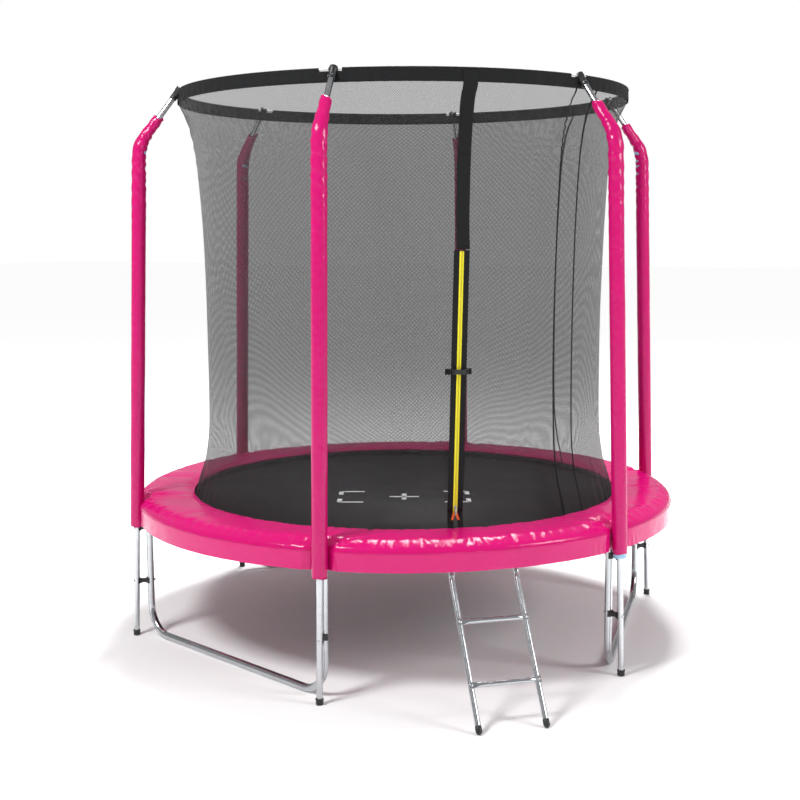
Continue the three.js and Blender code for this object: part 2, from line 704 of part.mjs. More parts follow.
const repeated = [
  ['top_rail', topRail(), STEEL], ['pole', pole(), STEEL],
  ['pole_sleeve', poleSleeve(), PINK], ['pole_cap', poleCap(), BLACK_PLASTIC],
  ['pole_foot', poleFoot(), BLACK_PLASTIC], ['leg_spacer', legSpacer(), BLACK_PLASTIC],
];
for (const [name, geometry, finish] of repeated) {
  for (let i = 0; i < POLES; i += 1) {
    add(`${name}_${i + 1}`, geometry, finish, poleAzimuth(i));
  }
}

const leg = legBase();
for (let i = 0; i < POLES / 2; i += 1) {
  add(`leg_base_${i + 1}`, leg, STEEL, poleAzimuth(2 * i - 0.5));
}

add('net_ring_rod', ringRod(), FIBRE_FINISH);
add('net_band', netBand(), BLACK_CLOTH);
for (let i = 0; i < NET_PANELS.count; i += 1) {
  add(`net_panel_${i + 1}`, netPanel(i), NET_CLOTH_FINISH, DOOR_AZIMUTH);
}

add('jump_mat', jumpMat(), BLACK_CLOTH);
add('spring_set', springSet(), STEEL);
add('pad_foam', padFoam(), FOAM_FINISH);
add('pad_cover', padCover(), PINK);

for (const [side, name] of [[-1, 'left'], [1, 'right']]) {
  add(`ladder_rail_${name}`, ladderRail(side), STEEL, DOOR_AZIMUTH);
  add(`ladder_foot_${name}`, ladderFoot(side), BLACK_PLASTIC, DOOR_AZIMUTH);
}
for (const [i, name] of [[0, 'upper'], [1, 'lower']]) {
  add(`ladder_rung_${name}`, ladderRung(RUNG.heights[i]), STEEL, DOOR_AZIMUTH);
}

add('door_zip', doorZip(), YELLOW_CLOTH, DOOR_AZIMUTH);
add('door_flap', doorFlap(), BLACK_CLOTH, DOOR_AZIMUTH);
add('zip_slider', zipSlider(), STEEL, DOOR_AZIMUTH);
add('zip_pull', zipPull(), STEEL, DOOR_AZIMUTH);
add('buckle_socket', buckleSocket(), BLACK_PLASTIC, DOOR_AZIMUTH);
add('buckle_tongue', buckleTongue(), BLACK_PLASTIC, DOOR_AZIMUTH);

export default trampoline;
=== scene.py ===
"""Looks of a round garden trampoline with a safety net, six padded poles and a hook-on ladder.

Metres, +Z up, with the origin on the ground at the axis of the round frame. An azimuth is
measured in degrees about +Z, from -Y towards +X. Pieces that stand on the round frame are
shaped on its -Y side and then turned to their azimuth.
"""

import json
import logging
import math
from dataclasses import dataclass, field
from enum import Enum
from typing import Callable, Iterable, Sequence

import bmesh
import bpy
from bmesh.types import BMEdge, BMVert
from mathutils import Matrix, Vector, noise

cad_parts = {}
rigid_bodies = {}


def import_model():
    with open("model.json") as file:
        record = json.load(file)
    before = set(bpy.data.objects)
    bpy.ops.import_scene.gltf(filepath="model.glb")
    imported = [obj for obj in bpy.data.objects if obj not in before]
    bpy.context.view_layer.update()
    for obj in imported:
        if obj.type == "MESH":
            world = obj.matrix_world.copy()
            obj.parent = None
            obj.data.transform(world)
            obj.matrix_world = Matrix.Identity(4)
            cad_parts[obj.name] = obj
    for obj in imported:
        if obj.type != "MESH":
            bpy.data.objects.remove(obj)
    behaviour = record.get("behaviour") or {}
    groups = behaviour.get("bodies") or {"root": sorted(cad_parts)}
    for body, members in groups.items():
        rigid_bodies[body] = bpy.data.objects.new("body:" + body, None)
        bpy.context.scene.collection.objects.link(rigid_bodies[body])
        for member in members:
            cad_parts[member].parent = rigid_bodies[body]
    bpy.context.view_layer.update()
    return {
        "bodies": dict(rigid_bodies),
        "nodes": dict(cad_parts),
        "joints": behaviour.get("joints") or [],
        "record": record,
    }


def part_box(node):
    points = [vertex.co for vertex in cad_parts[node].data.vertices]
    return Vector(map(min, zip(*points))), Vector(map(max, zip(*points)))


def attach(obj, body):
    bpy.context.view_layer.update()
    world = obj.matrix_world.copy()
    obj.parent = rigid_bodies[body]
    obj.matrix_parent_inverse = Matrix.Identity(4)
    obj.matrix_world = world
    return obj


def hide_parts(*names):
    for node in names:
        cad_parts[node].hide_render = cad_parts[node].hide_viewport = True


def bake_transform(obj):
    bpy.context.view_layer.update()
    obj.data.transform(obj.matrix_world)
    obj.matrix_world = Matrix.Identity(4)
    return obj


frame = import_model()

log = logging.getLogger("trampoline")

MM = 0.001
SIDE = Vector((1.0, 0.0, 0.0))  # across a piece that stands on the -Y side
UP = Vector((0.0, 0.0, 1.0))
SHARP_ANGLE = math.radians(35)  # a harder edge than this is shaded as an edge


# ------------------------------------------------------------------ places


def place(azimuth: float, radius: float, height: float) -> Vector:
    """A point at an azimuth, a distance from the axis and a height."""
    angle = math.radians(azimuth)
    return Vector((radius * math.sin(angle), -radius * math.cos(angle), height))


def turn(azimuth: float) -> Matrix:
    """The turn about the axis from the -Y side to an azimuth."""
    return Matrix.Rotation(math.radians(azimuth), 4, "Z")


def smooth(value: float, low: float, high: float) -> float:
    """A smooth step from 0 at low to 1 at high."""
    part = min(max((value - low) / (high - low), 0.0), 1.0)
    return part * part * (3 - 2 * part)


def bell(value: float, width: float) -> float:
    """A bell that is 1 at value 0 and falls away over the width."""
    return math.exp(-((value / width) ** 2))


def wrap(degrees: float) -> float:
    """An angle brought into the half turn either side of 0."""
    return (degrees + 180.0) % 360.0 - 180.0


def circle(radius: float, sides: int) -> list[tuple[float, float]]:
    """The corners of a round section."""
    return [
        (radius * math.cos(math.tau * i / sides), radius * math.sin(math.tau * i / sides))
        for i in range(sides)
    ]


def arc(
    centre: tuple[float, float], radius: float, start: float, end: float, steps: int
) -> list[tuple[float, float]]:
    """Points on an arc, from a start to an end angle in degrees."""
    angles = [math.radians(start + (end - start) * i / steps) for i in range(steps + 1)]
    return [(centre[0] + radius * math.cos(a), centre[1] + radius * math.sin(a)) for a in angles]


def even_steps(points: Sequence[Vector], step: float) -> list[Vector]:
    """The same path with points at even distances.

    Args:
        points: The path's corners.
        step: The distance wanted between two points.

    Returns:
        Points along the path, with its two ends kept.
    """
    lengths = [(b - a).length for a, b in zip(points, points[1:])]
    count = max(round(sum(lengths) / step), 1)
    spaced, index, passed = [points[0].copy()], 0, 0.0
    for i in range(1, count):
        wanted = sum(lengths) * i / count
        while passed + lengths[index] < wanted:
            passed += lengths[index]
            index += 1
        spaced.append(points[index].lerp(points[index + 1], (wanted - passed) / lengths[index]))
    return [*spaced, points[-1].copy()]


def spline(levels: Sequence[tuple[float, float]], where: float) -> float:
    """A smooth curve through (place, value) pairs, read at one place.

    Args:
        levels: The pairs, with their places rising.
        where: The place to read.

    Returns:
        The value there, with no overshoot past the ends.
    """
    where = min(max(where, levels[0][0]), levels[-1][0])
    index = next(i for i in range(1, len(levels)) if levels[i][0] >= where)
    (x1, y1), (x2, y2) = levels[index - 1], levels[index]
    x0, y0 = levels[max(index - 2, 0)]
    x3, y3 = levels[min(index + 1, len(levels) - 1)]
    slope1 = (y2 - y0) / (x2 - x0)
    slope2 = (y3 - y1) / (x3 - x1)
    t, span = (where - x1) / (x2 - x1), x2 - x1
    return (
        y1 * (2 * t**3 - 3 * t**2 + 1)
        + slope1 * span * (t**3 - 2 * t**2 + t)
        + y2 * (3 * t**2 - 2 * t**3)
        + slope2 * span * (t**3 - t**2)
    )


def stations(path: Sequence[Vector], side: Vector) -> list[Matrix]:
    """Places a section square to a path at each of its points.

    Args:
        path: The points that the section follows.
        side: Where the section's first axis points, as near as the path lets it.

    Returns:
        One matrix for each point: its columns are the section's axes and the path's direction.
    """
    placed = []
    for i, here in enumerate(path):
        ahead = (path[min(i + 1, len(path) - 1)] - here).normalized()
        behind = (here - path[max(i - 1, 0)]).normalized()
        along = (ahead + behind).normalized()
        first = (side - along * side.dot(along)).normalized()
        second = along.cross(first)
        axes = Matrix((first, second, along)).transposed().to_4x4()
        placed.append(Matrix.Translation(here) @ axes)
    return placed


# ------------------------------------------------------------------ finishes


def linear(code: str) -> tuple[float, float, float, float]:
    """Turns an sRGB hex colour into the linear colour that a shader takes."""
    parts = [int(code[i : i + 2], 16) / 255 for i in (1, 3, 5)]
    values = [p / 12.92 if p <= 0.04045 else ((p + 0.055) / 1.055) ** 2.4 for p in parts]
    return (values[0], values[1], values[2], 1.0)


def add_node(
    tree: bpy.types.NodeTree, kind: str, inputs: dict | None = None, **settings: object
) -> bpy.types.Node:
    """Adds a node to a material.

    Args:
        tree: The material's node tree.
        kind: The node's type.
        inputs: What goes in: a value, or another node's output, for each input's name or number.
        settings: The node's own settings.

    Returns:
        The node.
    """
    made = tree.nodes.new(kind)
    for key, value in settings.items():
        setattr(made, key, value)
    for key, value in (inputs or {}).items():
        if isinstance(value, bpy.types.NodeSocket):
            tree.links.new(value, made.inputs[key])
        else:
            made.inputs[key].default_value = value
    return made


def bands(period: float) -> float:
    """The scale at which a wave texture repeats after a length."""
    return math.tau / (20 * period)


@dataclass(frozen=True)
class Finish:
    """A finish, which is a shader with its own settings and the nodes that vary it."""

    colour: str = "#808080"
    roughness: float = 0.5
    metallic: float = 0.0
    coat: float = 0.0
    sheen: float = 0.0
    specular: float = 0.5

    def material(self) -> bpy.types.Material:
        """The finish as a material, made once."""
        found = bpy.data.materials.get(type(self).__name__)
        if found:
            return found
        made = bpy.data.materials.new(type(self).__name__)
        made.use_nodes = True
        tree = made.node_tree
        shader = tree.nodes["Principled BSDF"]
        values = {
            "Base Color": linear(self.colour),
            "Roughness": self.roughness,
            "Metallic": self.metallic,
            "Coat Weight": self.coat,
            "Sheen Weight": self.sheen,
            "Specular IOR Level": self.specular,
        }
        for key, value in values.items():
            shader.inputs[key].default_value = value
        self.dress(tree, shader)
        return made

    def dress(self, tree: bpy.types.NodeTree, shader: bpy.types.Node) -> None:
        """Adds the nodes that vary the finish. A plain finish has none."""

    def mottle(
        self, tree: bpy.types.NodeTree, shader: bpy.types.Node, other: str, grain: float, where: str
    ) -> bpy.types.Node:
        """Lets the colour drift between the finish's own and another.

        Args:
            tree: The material's node tree.
            shader: Its shader.
            other: The other colour, in hex.
            grain: The size of the patches.
            where: The coordinates to read, Object or UV.

        Returns:
            The noise that drives the drift.
        """
        places = add_node(tree, "ShaderNodeTexCoord")
        patches = add_node(
            tree, "ShaderNodeTexNoise",
            {"Vector": places.outputs[where], "Scale": 1 / grain, "Detail": 3.0},
        )
        mixed = add_node(
            tree, "ShaderNodeMix",
            {0: patches.outputs["Fac"], 6: linear(self.colour), 7: linear(other)},
            data_type="RGBA",
        )
        tree.links.new(mixed.outputs[2], shader.inputs["Base Color"])
        return patches

    def emboss(
        self, tree: bpy.types.NodeTree, shader: bpy.types.Node, height: bpy.types.NodeSocket,
        depth: float, below: bpy.types.Node | None = None,
    ) -> bpy.types.Node:
        """Raises the surface by a pattern.

        Args:
            tree: The material's node tree.
            shader: Its shader.
            height: The pattern, from 0 to 1.
            depth: How deep it is, in metres.
            below: A bump that this one lies on.

        Returns:
            The bump.
        """
        inputs = {"Height": height, "Distance": depth}
        if below:
            inputs["Normal"] = below.outputs["Normal"]
        bump = add_node(tree, "ShaderNodeBump", inputs)
        tree.links.new(bump.outputs["Normal"], shader.inputs["Normal"])
        return bump

    def vary(
        self, tree: bpy.types.NodeTree, shader: bpy.types.Node, driver: bpy.types.NodeSocket,
        spread: float,
    ) -> None:
        """Lets the roughness rise and fall about its own value with a pattern."""
        ranged = add_node(
            tree, "ShaderNodeMapRange",
            {
                "Value": driver, "From Min": 0.25, "From Max": 0.75,
                "To Min": self.roughness - spread, "To Max": self.roughness + spread,
            },
        )
        tree.links.new(ranged.outputs["Result"], shader.inputs["Roughness"])

    def weave(
        self, tree: bpy.types.NodeTree, where: str, first: float, second: float
    ) -> bpy.types.NodeSocket:
        """A plain weave: two sets of threads that cross.

        Args:
            tree: The material's node tree.
            where: The coordinates to read, Object or UV.
            first: The spacing of the threads across.
            second: The spacing of the threads along.

        Returns:
            The height of the threads, from 0 to 1.
        """
        places = add_node(tree, "ShaderNodeTexCoord").outputs[where]
        sets = [
            add_node(
                tree, "ShaderNodeTexWave", {"Vector": places, "Scale": bands(pitch)},
                bands_direction=direction,
            )
            for direction, pitch in (("X", first), ("Y", second))
        ]
        crossed = add_node(
            tree, "ShaderNodeMath",
            {0: sets[0].outputs["Fac"], 1: sets[1].outputs["Fac"]}, operation="MAXIMUM",
        )
        return crossed.outputs["Value"]


@dataclass(frozen=True)
class GalvanisedSteel(Finish):
    """Zinc-coated steel tube, drawn and dipped.

    It gives the eye a bright grey metal with soft blotches of zinc and fine lengthwise streaks.
    """

    colour: str = "#CBCDD0"
    dull: str = "#B3B6BA"
    roughness: float = 0.2
    metallic: float = 1.0
    spangle: float = 0.014
    streak: float = 0.0025

    def dress(self, tree: bpy.types.NodeTree, shader: bpy.types.Node) -> None:
        """Adds the zinc's blotches and the drawn streaks."""
        self.mottle(tree, shader, self.dull, 4 * self.spangle, "Object")
        places = add_node(tree, "ShaderNodeTexCoord").outputs["Object"]
        flowers = add_node(
            tree, "ShaderNodeTexVoronoi", {"Vector": places, "Scale": 1 / self.spangle}
        )
        self.vary(tree, shader, flowers.outputs["Distance"], 0.05)
        drawn = add_node(
            tree, "ShaderNodeTexNoise",
            {"Vector": places, "Scale": 1 / self.streak, "Detail": 2.0},
        )
        self.emboss(tree, shader, drawn.outputs["Fac"], 0.003 * MM)


@dataclass(frozen=True)
class ZincSpringSteel(Finish):
    """Zinc-plated spring wire: brighter and smoother than the dipped tubes."""

    colour: str = "#DDDEE0"
    roughness: float = 0.22
    metallic: float = 1.0
    grain: float = 0.003

    def dress(self, tree: bpy.types.NodeTree, shader: bpy.types.Node) -> None:
        """Adds a faint change of shade along the wire."""
        patches = self.mottle(tree, shader, "#A5A8AB", self.grain * 6, "Object")
        self.vary(tree, shader, patches.outputs["Fac"], 0.06)


@dataclass(frozen=True)
class PadVinyl(Finish):
    """PVC-coated polyester: a smooth glossy film with the weave of its base just showing."""

    colour: str = "#CF0A70"
    shade: str = "#C50867"
    roughness: float = 0.17
    coat: float = 0.06
    specular: float = 0.3
    weave_pitch: float = 0.0016  # the base cloth's threads, drawn a little coarse to show
    ripple: float = 0.045

    def dress(self, tree: bpy.types.NodeTree, shader: bpy.types.Node) -> None:
        """Adds the film's slow ripples and the base cloth's weave."""
        shader.inputs["Coat Roughness"].default_value = 0.12
        patches = self.mottle(tree, shader, self.shade, 3 * self.ripple, "Object")
        self.vary(tree, shader, patches.outputs["Fac"], 0.05)
        places = add_node(tree, "ShaderNodeTexCoord").outputs["Object"]
        slack = add_node(
            tree, "ShaderNodeTexNoise",
            {"Vector": places, "Scale": 1 / self.ripple, "Detail": 2.0},
        )
        film = self.emboss(tree, shader, slack.outputs["Fac"], 2.2 * MM)
        threads = self.weave(tree, "Object", self.weave_pitch, self.weave_pitch)
        self.emboss(tree, shader, threads, 0.03 * MM, film)


@dataclass(frozen=True)
class SleeveVinyl(PadVinyl):
    """The same coated cloth drawn tight over a foam tube, with finer ripples."""

    colour: str = "#C20A68"
    shade: str = "#B80860"
    roughness: float = 0.22
    ripple: float = 0.022


@dataclass(frozen=True)
class BlueFoam(Finish):
    """Expanded polyethylene: a pale blue, matt, closed-cell foam."""

    colour: str = "#A9CBE6"
    roughness: float = 0.85
    cell: float = 0.0022

    def dress(self, tree: bpy.types.NodeTree, shader: bpy.types.Node) -> None:
        """Adds the foam's cells."""
        places = add_node(tree, "ShaderNodeTexCoord").outputs["Object"]
        cells = add_node(tree, "ShaderNodeTexVoronoi", {"Vector": places, "Scale": 1 / self.cell})
        self.mottle(tree, shader, "#8FB6D6", 5 * self.cell, "Object")
        self.emboss(tree, shader, cells.outputs["Distance"], 0.5 * MM)


@dataclass(frozen=True)
class MouldedPlastic(Finish):
    """Injection-moulded polypropylene: black, half matt, with a fine spark-eroded grain."""

    colour: str = "#17181A"
    roughness: float = 0.42
    grain: float = 0.0009

    def dress(self, tree: bpy.types.NodeTree, shader: bpy.types.Node) -> None:
        """Adds the mould's grain and a little dust in it."""
        patches = self.mottle(tree, shader, "#222326", 30 * self.grain, "Object")
        self.vary(tree, shader, patches.outputs["Fac"], 0.08)
        places = add_node(tree, "ShaderNodeTexCoord").outputs["Object"]
        grains = add_node(
            tree, "ShaderNodeTexNoise",
            {"Vector": places, "Scale": 1 / self.grain, "Detail": 2.0},
        )
        self.emboss(tree, shader, grains.outputs["Fac"], 0.08 * MM)


@dataclass(frozen=True)
class KnittedNet(Finish):
    """Knitted polyester net: fine black threads that leave small diamond holes.

    The cells are drawn 6 mm wide, about twice the real ones, so that they show.
    """

    colour: str = "#1B1C1E"
    roughness: float = 0.8
    sheen: float = 0.05
    cell: float = 0.006
    open_alpha: float = 0.2
    thread_alpha: float = 0.8

    def dress(self, tree: bpy.types.NodeTree, shader: bpy.types.Node) -> None:
        """Opens the holes between two slanting sets of threads."""
        places = add_node(tree, "ShaderNodeTexCoord").outputs["UV"]
        slanted = add_node(
            tree, "ShaderNodeMapping",
            {"Vector": places, "Rotation": (0.0, 0.0, math.radians(45))},
        ).outputs["Vector"]
        pitch = self.cell / math.sqrt(2)
        sets = [
            add_node(
                tree, "ShaderNodeTexWave", {"Vector": slanted, "Scale": bands(pitch)},
                bands_direction=direction,
            )
            for direction in "XY"
        ]
        crossed = add_node(
            tree, "ShaderNodeMath",
            {0: sets[0].outputs["Fac"], 1: sets[1].outputs["Fac"]}, operation="MAXIMUM",
        )
        holes = add_node(
            tree, "ShaderNodeMapRange",
            {
                "Value": crossed.outputs["Value"], "From Min": 0.3, "From Max": 0.95,
                "To Min": self.open_alpha, "To Max": self.thread_alpha,
            },
        )
        tree.links.new(holes.outputs["Result"], shader.inputs["Alpha"])
        self.emboss(tree, shader, crossed.outputs["Value"], 0.3 * MM)


@dataclass(frozen=True)
class Webbing(Finish):
    """Woven polypropylene tape: black, with a rib every two millimetres and a dull shine."""

    colour: str = "#0C0D0E"
    roughness: float = 0.72
    sheen: float = 0.02
    specular: float = 0.2
    rib: float = 0.0028

    def dress(self, tree: bpy.types.NodeTree, shader: bpy.types.Node) -> None:
        """Adds the ribs."""
        patches = self.mottle(tree, shader, "#131416", 20 * self.rib, "UV")
        self.vary(tree, shader, patches.outputs["Fac"], 0.06)
        self.emboss(tree, shader, self.weave(tree, "UV", self.rib, 2 * self.rib), 0.35 * MM)


@dataclass(frozen=True)
class MatWeave(Finish):
    """Woven polypropylene mat cloth: black, tight, flat threads with a dull shine."""

    colour: str = "#0A0A0C"
    roughness: float = 0.66
    specular: float = 0.25
    thread: float = 0.0035  # the flat threads, drawn about twice as wide as they are

    def dress(self, tree: bpy.types.NodeTree, shader: bpy.types.Node) -> None:
        """Adds the weave, and the paler wear where feet land."""
        patches = self.mottle(tree, shader, "#111214", 0.35, "Object")
        self.vary(tree, shader, patches.outputs["Fac"], 0.08)
        self.emboss(tree, shader, self.weave(tree, "Object", self.thread, self.thread), 0.3 * MM)


@dataclass(frozen=True)
class ScreenPrint(Finish):
    """White screen-printing ink on the mat, a little worn between the threads."""

    colour: str = "#FAFAFA"
    roughness: float = 0.7

    def dress(self, tree: bpy.types.NodeTree, shader: bpy.types.Node) -> None:
        """Lets the ink thin out."""
        self.mottle(tree, shader, "#E2E3E4", 0.012, "Object")
        self.emboss(tree, shader, self.weave(tree, "Object", 0.0035, 0.0035), 0.2 * MM)


@dataclass(frozen=True)
class FibreGlass(Finish):
    """Pultruded glass fibre rod: off-white, half matt, with fine lengthwise fibres."""

    colour: str = "#DCDDD8"
    roughness: float = 0.4

    def dress(self, tree: bpy.types.NodeTree, shader: bpy.types.Node) -> None:
        """Adds the fibres' faint streaks."""
        patches = self.mottle(tree, shader, "#C6C8C2", 0.01, "Object")
        self.emboss(tree, shader, patches.outputs["Fac"], 0.05 * MM)


@dataclass(frozen=True)
class ZipTape(Finish):
    """The zip's woven polyester tape: bright yellow and matt."""

    colour: str = "#E9DE1F"
    worn: str = "#DACE1C"
    roughness: float = 0.75
    thread: float = 0.002

    def dress(self, tree: bpy.types.NodeTree, shader: bpy.types.Node) -> None:
        """Adds the herringbone's ribs."""
        self.mottle(tree, shader, self.worn, 0.02, "UV")
        self.emboss(tree, shader, self.weave(tree, "UV", self.thread, self.thread), 0.25 * MM)


@dataclass(frozen=True)
class NylonCoil(Finish):
    """The zip's nylon coil: yellow, half glossy, with a tooth every three millimetres."""

    colour: str = "#D9CF2A"
    roughness: float = 0.4
    tooth: float = 0.003

    def dress(self, tree: bpy.types.NodeTree, shader: bpy.types.Node) -> None:
        """Adds the teeth."""
        places = add_node(tree, "ShaderNodeTexCoord").outputs["UV"]
        teeth = add_node(
            tree, "ShaderNodeTexWave", {"Vector": places, "Scale": bands(self.tooth)},
            bands_direction="Y",
        )
        self.mottle(tree, shader, "#A79D22", 0.01, "UV")
        self.emboss(tree, shader, teeth.outputs["Fac"], 0.8 * MM)


@dataclass(frozen=True)
class OrangeTape(ZipTape):
    """The bright binding where the zip's two tapes part: orange-red and matt."""

    colour: str = "#DB3F17"
    worn: str = "#E8772B"


@dataclass(frozen=True)
class ZipAlloy(Finish):
    """Die-cast zinc, nickel plated and tumbled: a bright, slightly worn slider."""

    colour: str = "#BFBDB8"
    roughness: float = 0.25
    metallic: float = 1.0

    def dress(self, tree: bpy.types.NodeTree, shader: bpy.types.Node) -> None:
        """Adds the wear."""
        patches = self.mottle(tree, shader, "#94918B", 0.006, "Object")
        self.vary(tree, shader, patches.outputs["Fac"], 0.1)


# ------------------------------------------------------------------ shaping


class Body(Enum):
    """The moving bodies that a piece can ride on."""

    FRAME = "frame"
    MAT = "mat"
    LADDER = "ladder"
    SLIDER = "slider"
    PULL_TAB = "pull_tab"
    BUCKLE_CLIP = "buckle_clip"


class Slot(Enum):
    """The record's material slots."""

    STEEL = "galvanised_steel"
    SLEEVE = "sleeve_foam"
    PAD = "pad_vinyl"
    FOAM = "pad_foam"
    PLASTIC = "black_plastic"
    WEBBING = "black_webbing"
    NET = "net_mesh"
    MAT = "mat_weave"
    ROD = "fibre_rod"
    ZIP_TAPE = "zip_tape"
    ZIP_METAL = "zip_metal"


class Shape:
    """A piece while it is being shaped."""

    def __init__(self) -> None:
        """Starts with nothing."""
        self.bm = bmesh.new()
        self.uv = self.bm.loops.layers.uv.new("UVMap")

    def sweep(
        self, section: Sequence[tuple[float, float]], placed: Sequence[Matrix],
        capped: bool = True, looped: bool = True,
    ) -> list[list[BMVert]]:
        """Draws a section through a row of places.

        Args:
            section: The section's corners.
            placed: Where the section goes, one matrix for each step.
            capped: Whether the two ends are closed.
            looped: Whether the section closes on itself.

        Returns:
            The section's points at each step.
        """
        ring = [self.bm.verts.new(placed[0] @ Vector((x, y, 0.0))) for x, y in section]
        ends = [*ring[1:], ring[0]] if looped else ring[1:]
        edges = [self.bm.edges.new(pair) for pair in zip(ring, ends)]
        rings = [ring]
        if capped:
            self.bm.faces.new(ring)
        for before, after in zip(placed, placed[1:]):
            known = {v: i for i, v in enumerate(rings[-1])}
            made = bmesh.ops.extrude_edge_only(self.bm, edges=edges)["geom"]
            fresh = {v for v in made if isinstance(v, BMVert)}
            edges = [e for e in made if isinstance(e, BMEdge) and set(e.verts) <= fresh]
            bmesh.ops.transform(self.bm, matrix=after @ before.inverted(), verts=list(fresh))
            ring = [None] * len(ring)
            for v in fresh:
                source = next(e.other_vert(v) for e in v.link_edges if e.other_vert(v) in known)
                ring[known[source]] = v
            rings.append(ring)
        if capped:
            self.bm.faces.new(ring)
        return rings

    def tube(
        self, path: Sequence[Vector], radius: float, sides: int = 16, side: Vector = SIDE,
        capped: bool = True,
    ) -> list[list[BMVert]]:
        """Draws a round bar along a path."""
        return self.sweep(circle(radius, sides), stations(path, side), capped)

    def lathe(
        self, profile: Sequence[tuple[float, float]], steps: int = 32, around: float = 360.0,
        start: float = 0.0, closed: bool = False,
    ) -> list[BMVert]:
        """Spins a profile about +Z.

        Args:
            profile: The profile's points, each a distance from the axis and a height.
            steps: The number of steps round.
            around: How far round it goes, in degrees.
            start: The azimuth where it starts.
            closed: Whether the profile closes on itself.

        Returns:
            The points that were made.
        """
        before = set(self.bm.verts)
        points = [self.bm.verts.new(place(start, r, z)) for r, z in profile]
        ends = [*points[1:], points[0]] if closed else points[1:]
        lines = [self.bm.edges.new(pair) for pair in zip(points, ends)]
        bmesh.ops.spin(
            self.bm, geom=[*points, *lines], cent=(0, 0, 0), axis=(0, 0, 1),
            angle=math.radians(around), steps=steps, use_merge=around >= 360.0,
        )
        made = [v for v in self.bm.verts if v not in before]
        bmesh.ops.remove_doubles(self.bm, verts=made, dist=1e-6)
        return [v for v in self.bm.verts if v not in before]

    def grid(
        self, columns: int, rows: int, size: tuple[float, float],
        put: Callable[[float, float], Vector],
    ) -> list[BMVert]:
        """Lays a grid of cells on a surface, with a UV map in metres.

        Args:
            columns: The number of cells across.
            rows: The number of cells along.
            size: The cloth's width and length.
            put: Gives the place of each corner, from how far across and along it is.

        Returns:
            The grid's points.
        """
        made = bmesh.ops.create_grid(self.bm, x_segments=columns, y_segments=rows, size=0.5)["verts"]
        fresh = set(made)
        shares = {v: (v.co.x + 0.5, v.co.y + 0.5) for v in made}
        for face in {f for v in made for f in v.link_faces}:
            for loop in face.loops:
                across, along = shares[loop.vert]
                loop[self.uv].uv = (across * size[0], along * size[1])
        for v in fresh:
            v.co = put(*shares[v])
        return made

    def block(
        self, low: Sequence[float], high: Sequence[float], matrix: Matrix = Matrix.Identity(4)
    ) -> list[BMVert]:
        """A block between two corners, placed by a matrix."""
        size = Vector(high) - Vector(low)
        middle = (Vector(high) + Vector(low)) / 2
        fit = matrix @ Matrix.Translation(middle) @ Matrix.Diagonal((*size, 1.0))
        return bmesh.ops.create_cube(self.bm, size=1.0, matrix=fit)["verts"]

    def move(self, matrix: Matrix, verts: Iterable[BMVert] | None = None) -> None:
        """Moves some points, or all of them."""
        bmesh.ops.transform(
            self.bm, matrix=matrix, verts=self.bm.verts[:] if verts is None else list(verts)
        )

    def dome(self, radius: float, height: float, matrix: Matrix, sides: int = 20) -> None:
        """A low dome on its flat side, such as a bolt's head."""
        profile = [(0.0, 0.0), (radius, 0.0), (radius, 0.25 * height)]
        profile += [
            (radius * math.cos(a), height * (0.25 + 0.75 * math.sin(a)))
            for a in (math.radians(18 * i) for i in range(1, 5))
        ]
        self.move(matrix, self.lathe([*profile, (0.0, height)], sides))

    def outward(self) -> None:
        """Turns the faces of closed forms outwards."""
        bmesh.ops.recalc_face_normals(self.bm, faces=self.bm.faces[:])

    def finish(
        self, name: str, finish: Finish, body: Body | None, slot: Slot,
        stands_for: Sequence[str] = (), bevel: float = 0.0, wall: float = 0.0,
        levels: int = 0, recalculate: bool = True,
    ) -> bpy.types.Object:
        """Makes the piece.

        Args:
            name: The piece's name.
            finish: What it is made of.
            body: The body that it rides on, or None where it rides on none.
            slot: The record's slot for its finish; not used.
            stands_for: The CAD nodes that it replaces.
            bevel: The width of its rounded edges.
            wall: The thickness given to a sheet.
            levels: The number of subdivisions.
            recalculate: Whether its faces still have to be turned outwards.

        Returns:
            The piece.
        """
        if recalculate:
            self.outward()
        for edge in self.bm.edges:
            if len(edge.link_faces) == 2:
                edge.smooth = edge.calc_face_angle(0.0) < SHARP_ANGLE
        mesh = bpy.data.meshes.new(name)
        self.bm.to_mesh(mesh)
        self.bm.free()
        mesh.polygons.foreach_set("use_smooth", [True] * len(mesh.polygons))
        mesh.materials.append(finish.material())
        piece = bpy.data.objects.new(name, mesh)
        bpy.context.scene.collection.objects.link(piece)
        if wall:
            solid = piece.modifiers.new("wall", "SOLIDIFY")
            solid.thickness, solid.offset = wall, 0.0
        if bevel:
            rounded = piece.modifiers.new("edges", "BEVEL")
            rounded.width, rounded.segments, rounded.limit_method = bevel, 2, "ANGLE"
            rounded.harden_normals = True
        if levels:
            finer = piece.modifiers.new("finer", "SUBSURF")
            finer.levels = finer.render_levels = levels
        if body:
            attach(piece, body.value)
        if stands_for:
            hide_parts(*stands_for)
        log.info("%s: %d faces", name, len(mesh.polygons))
        return piece


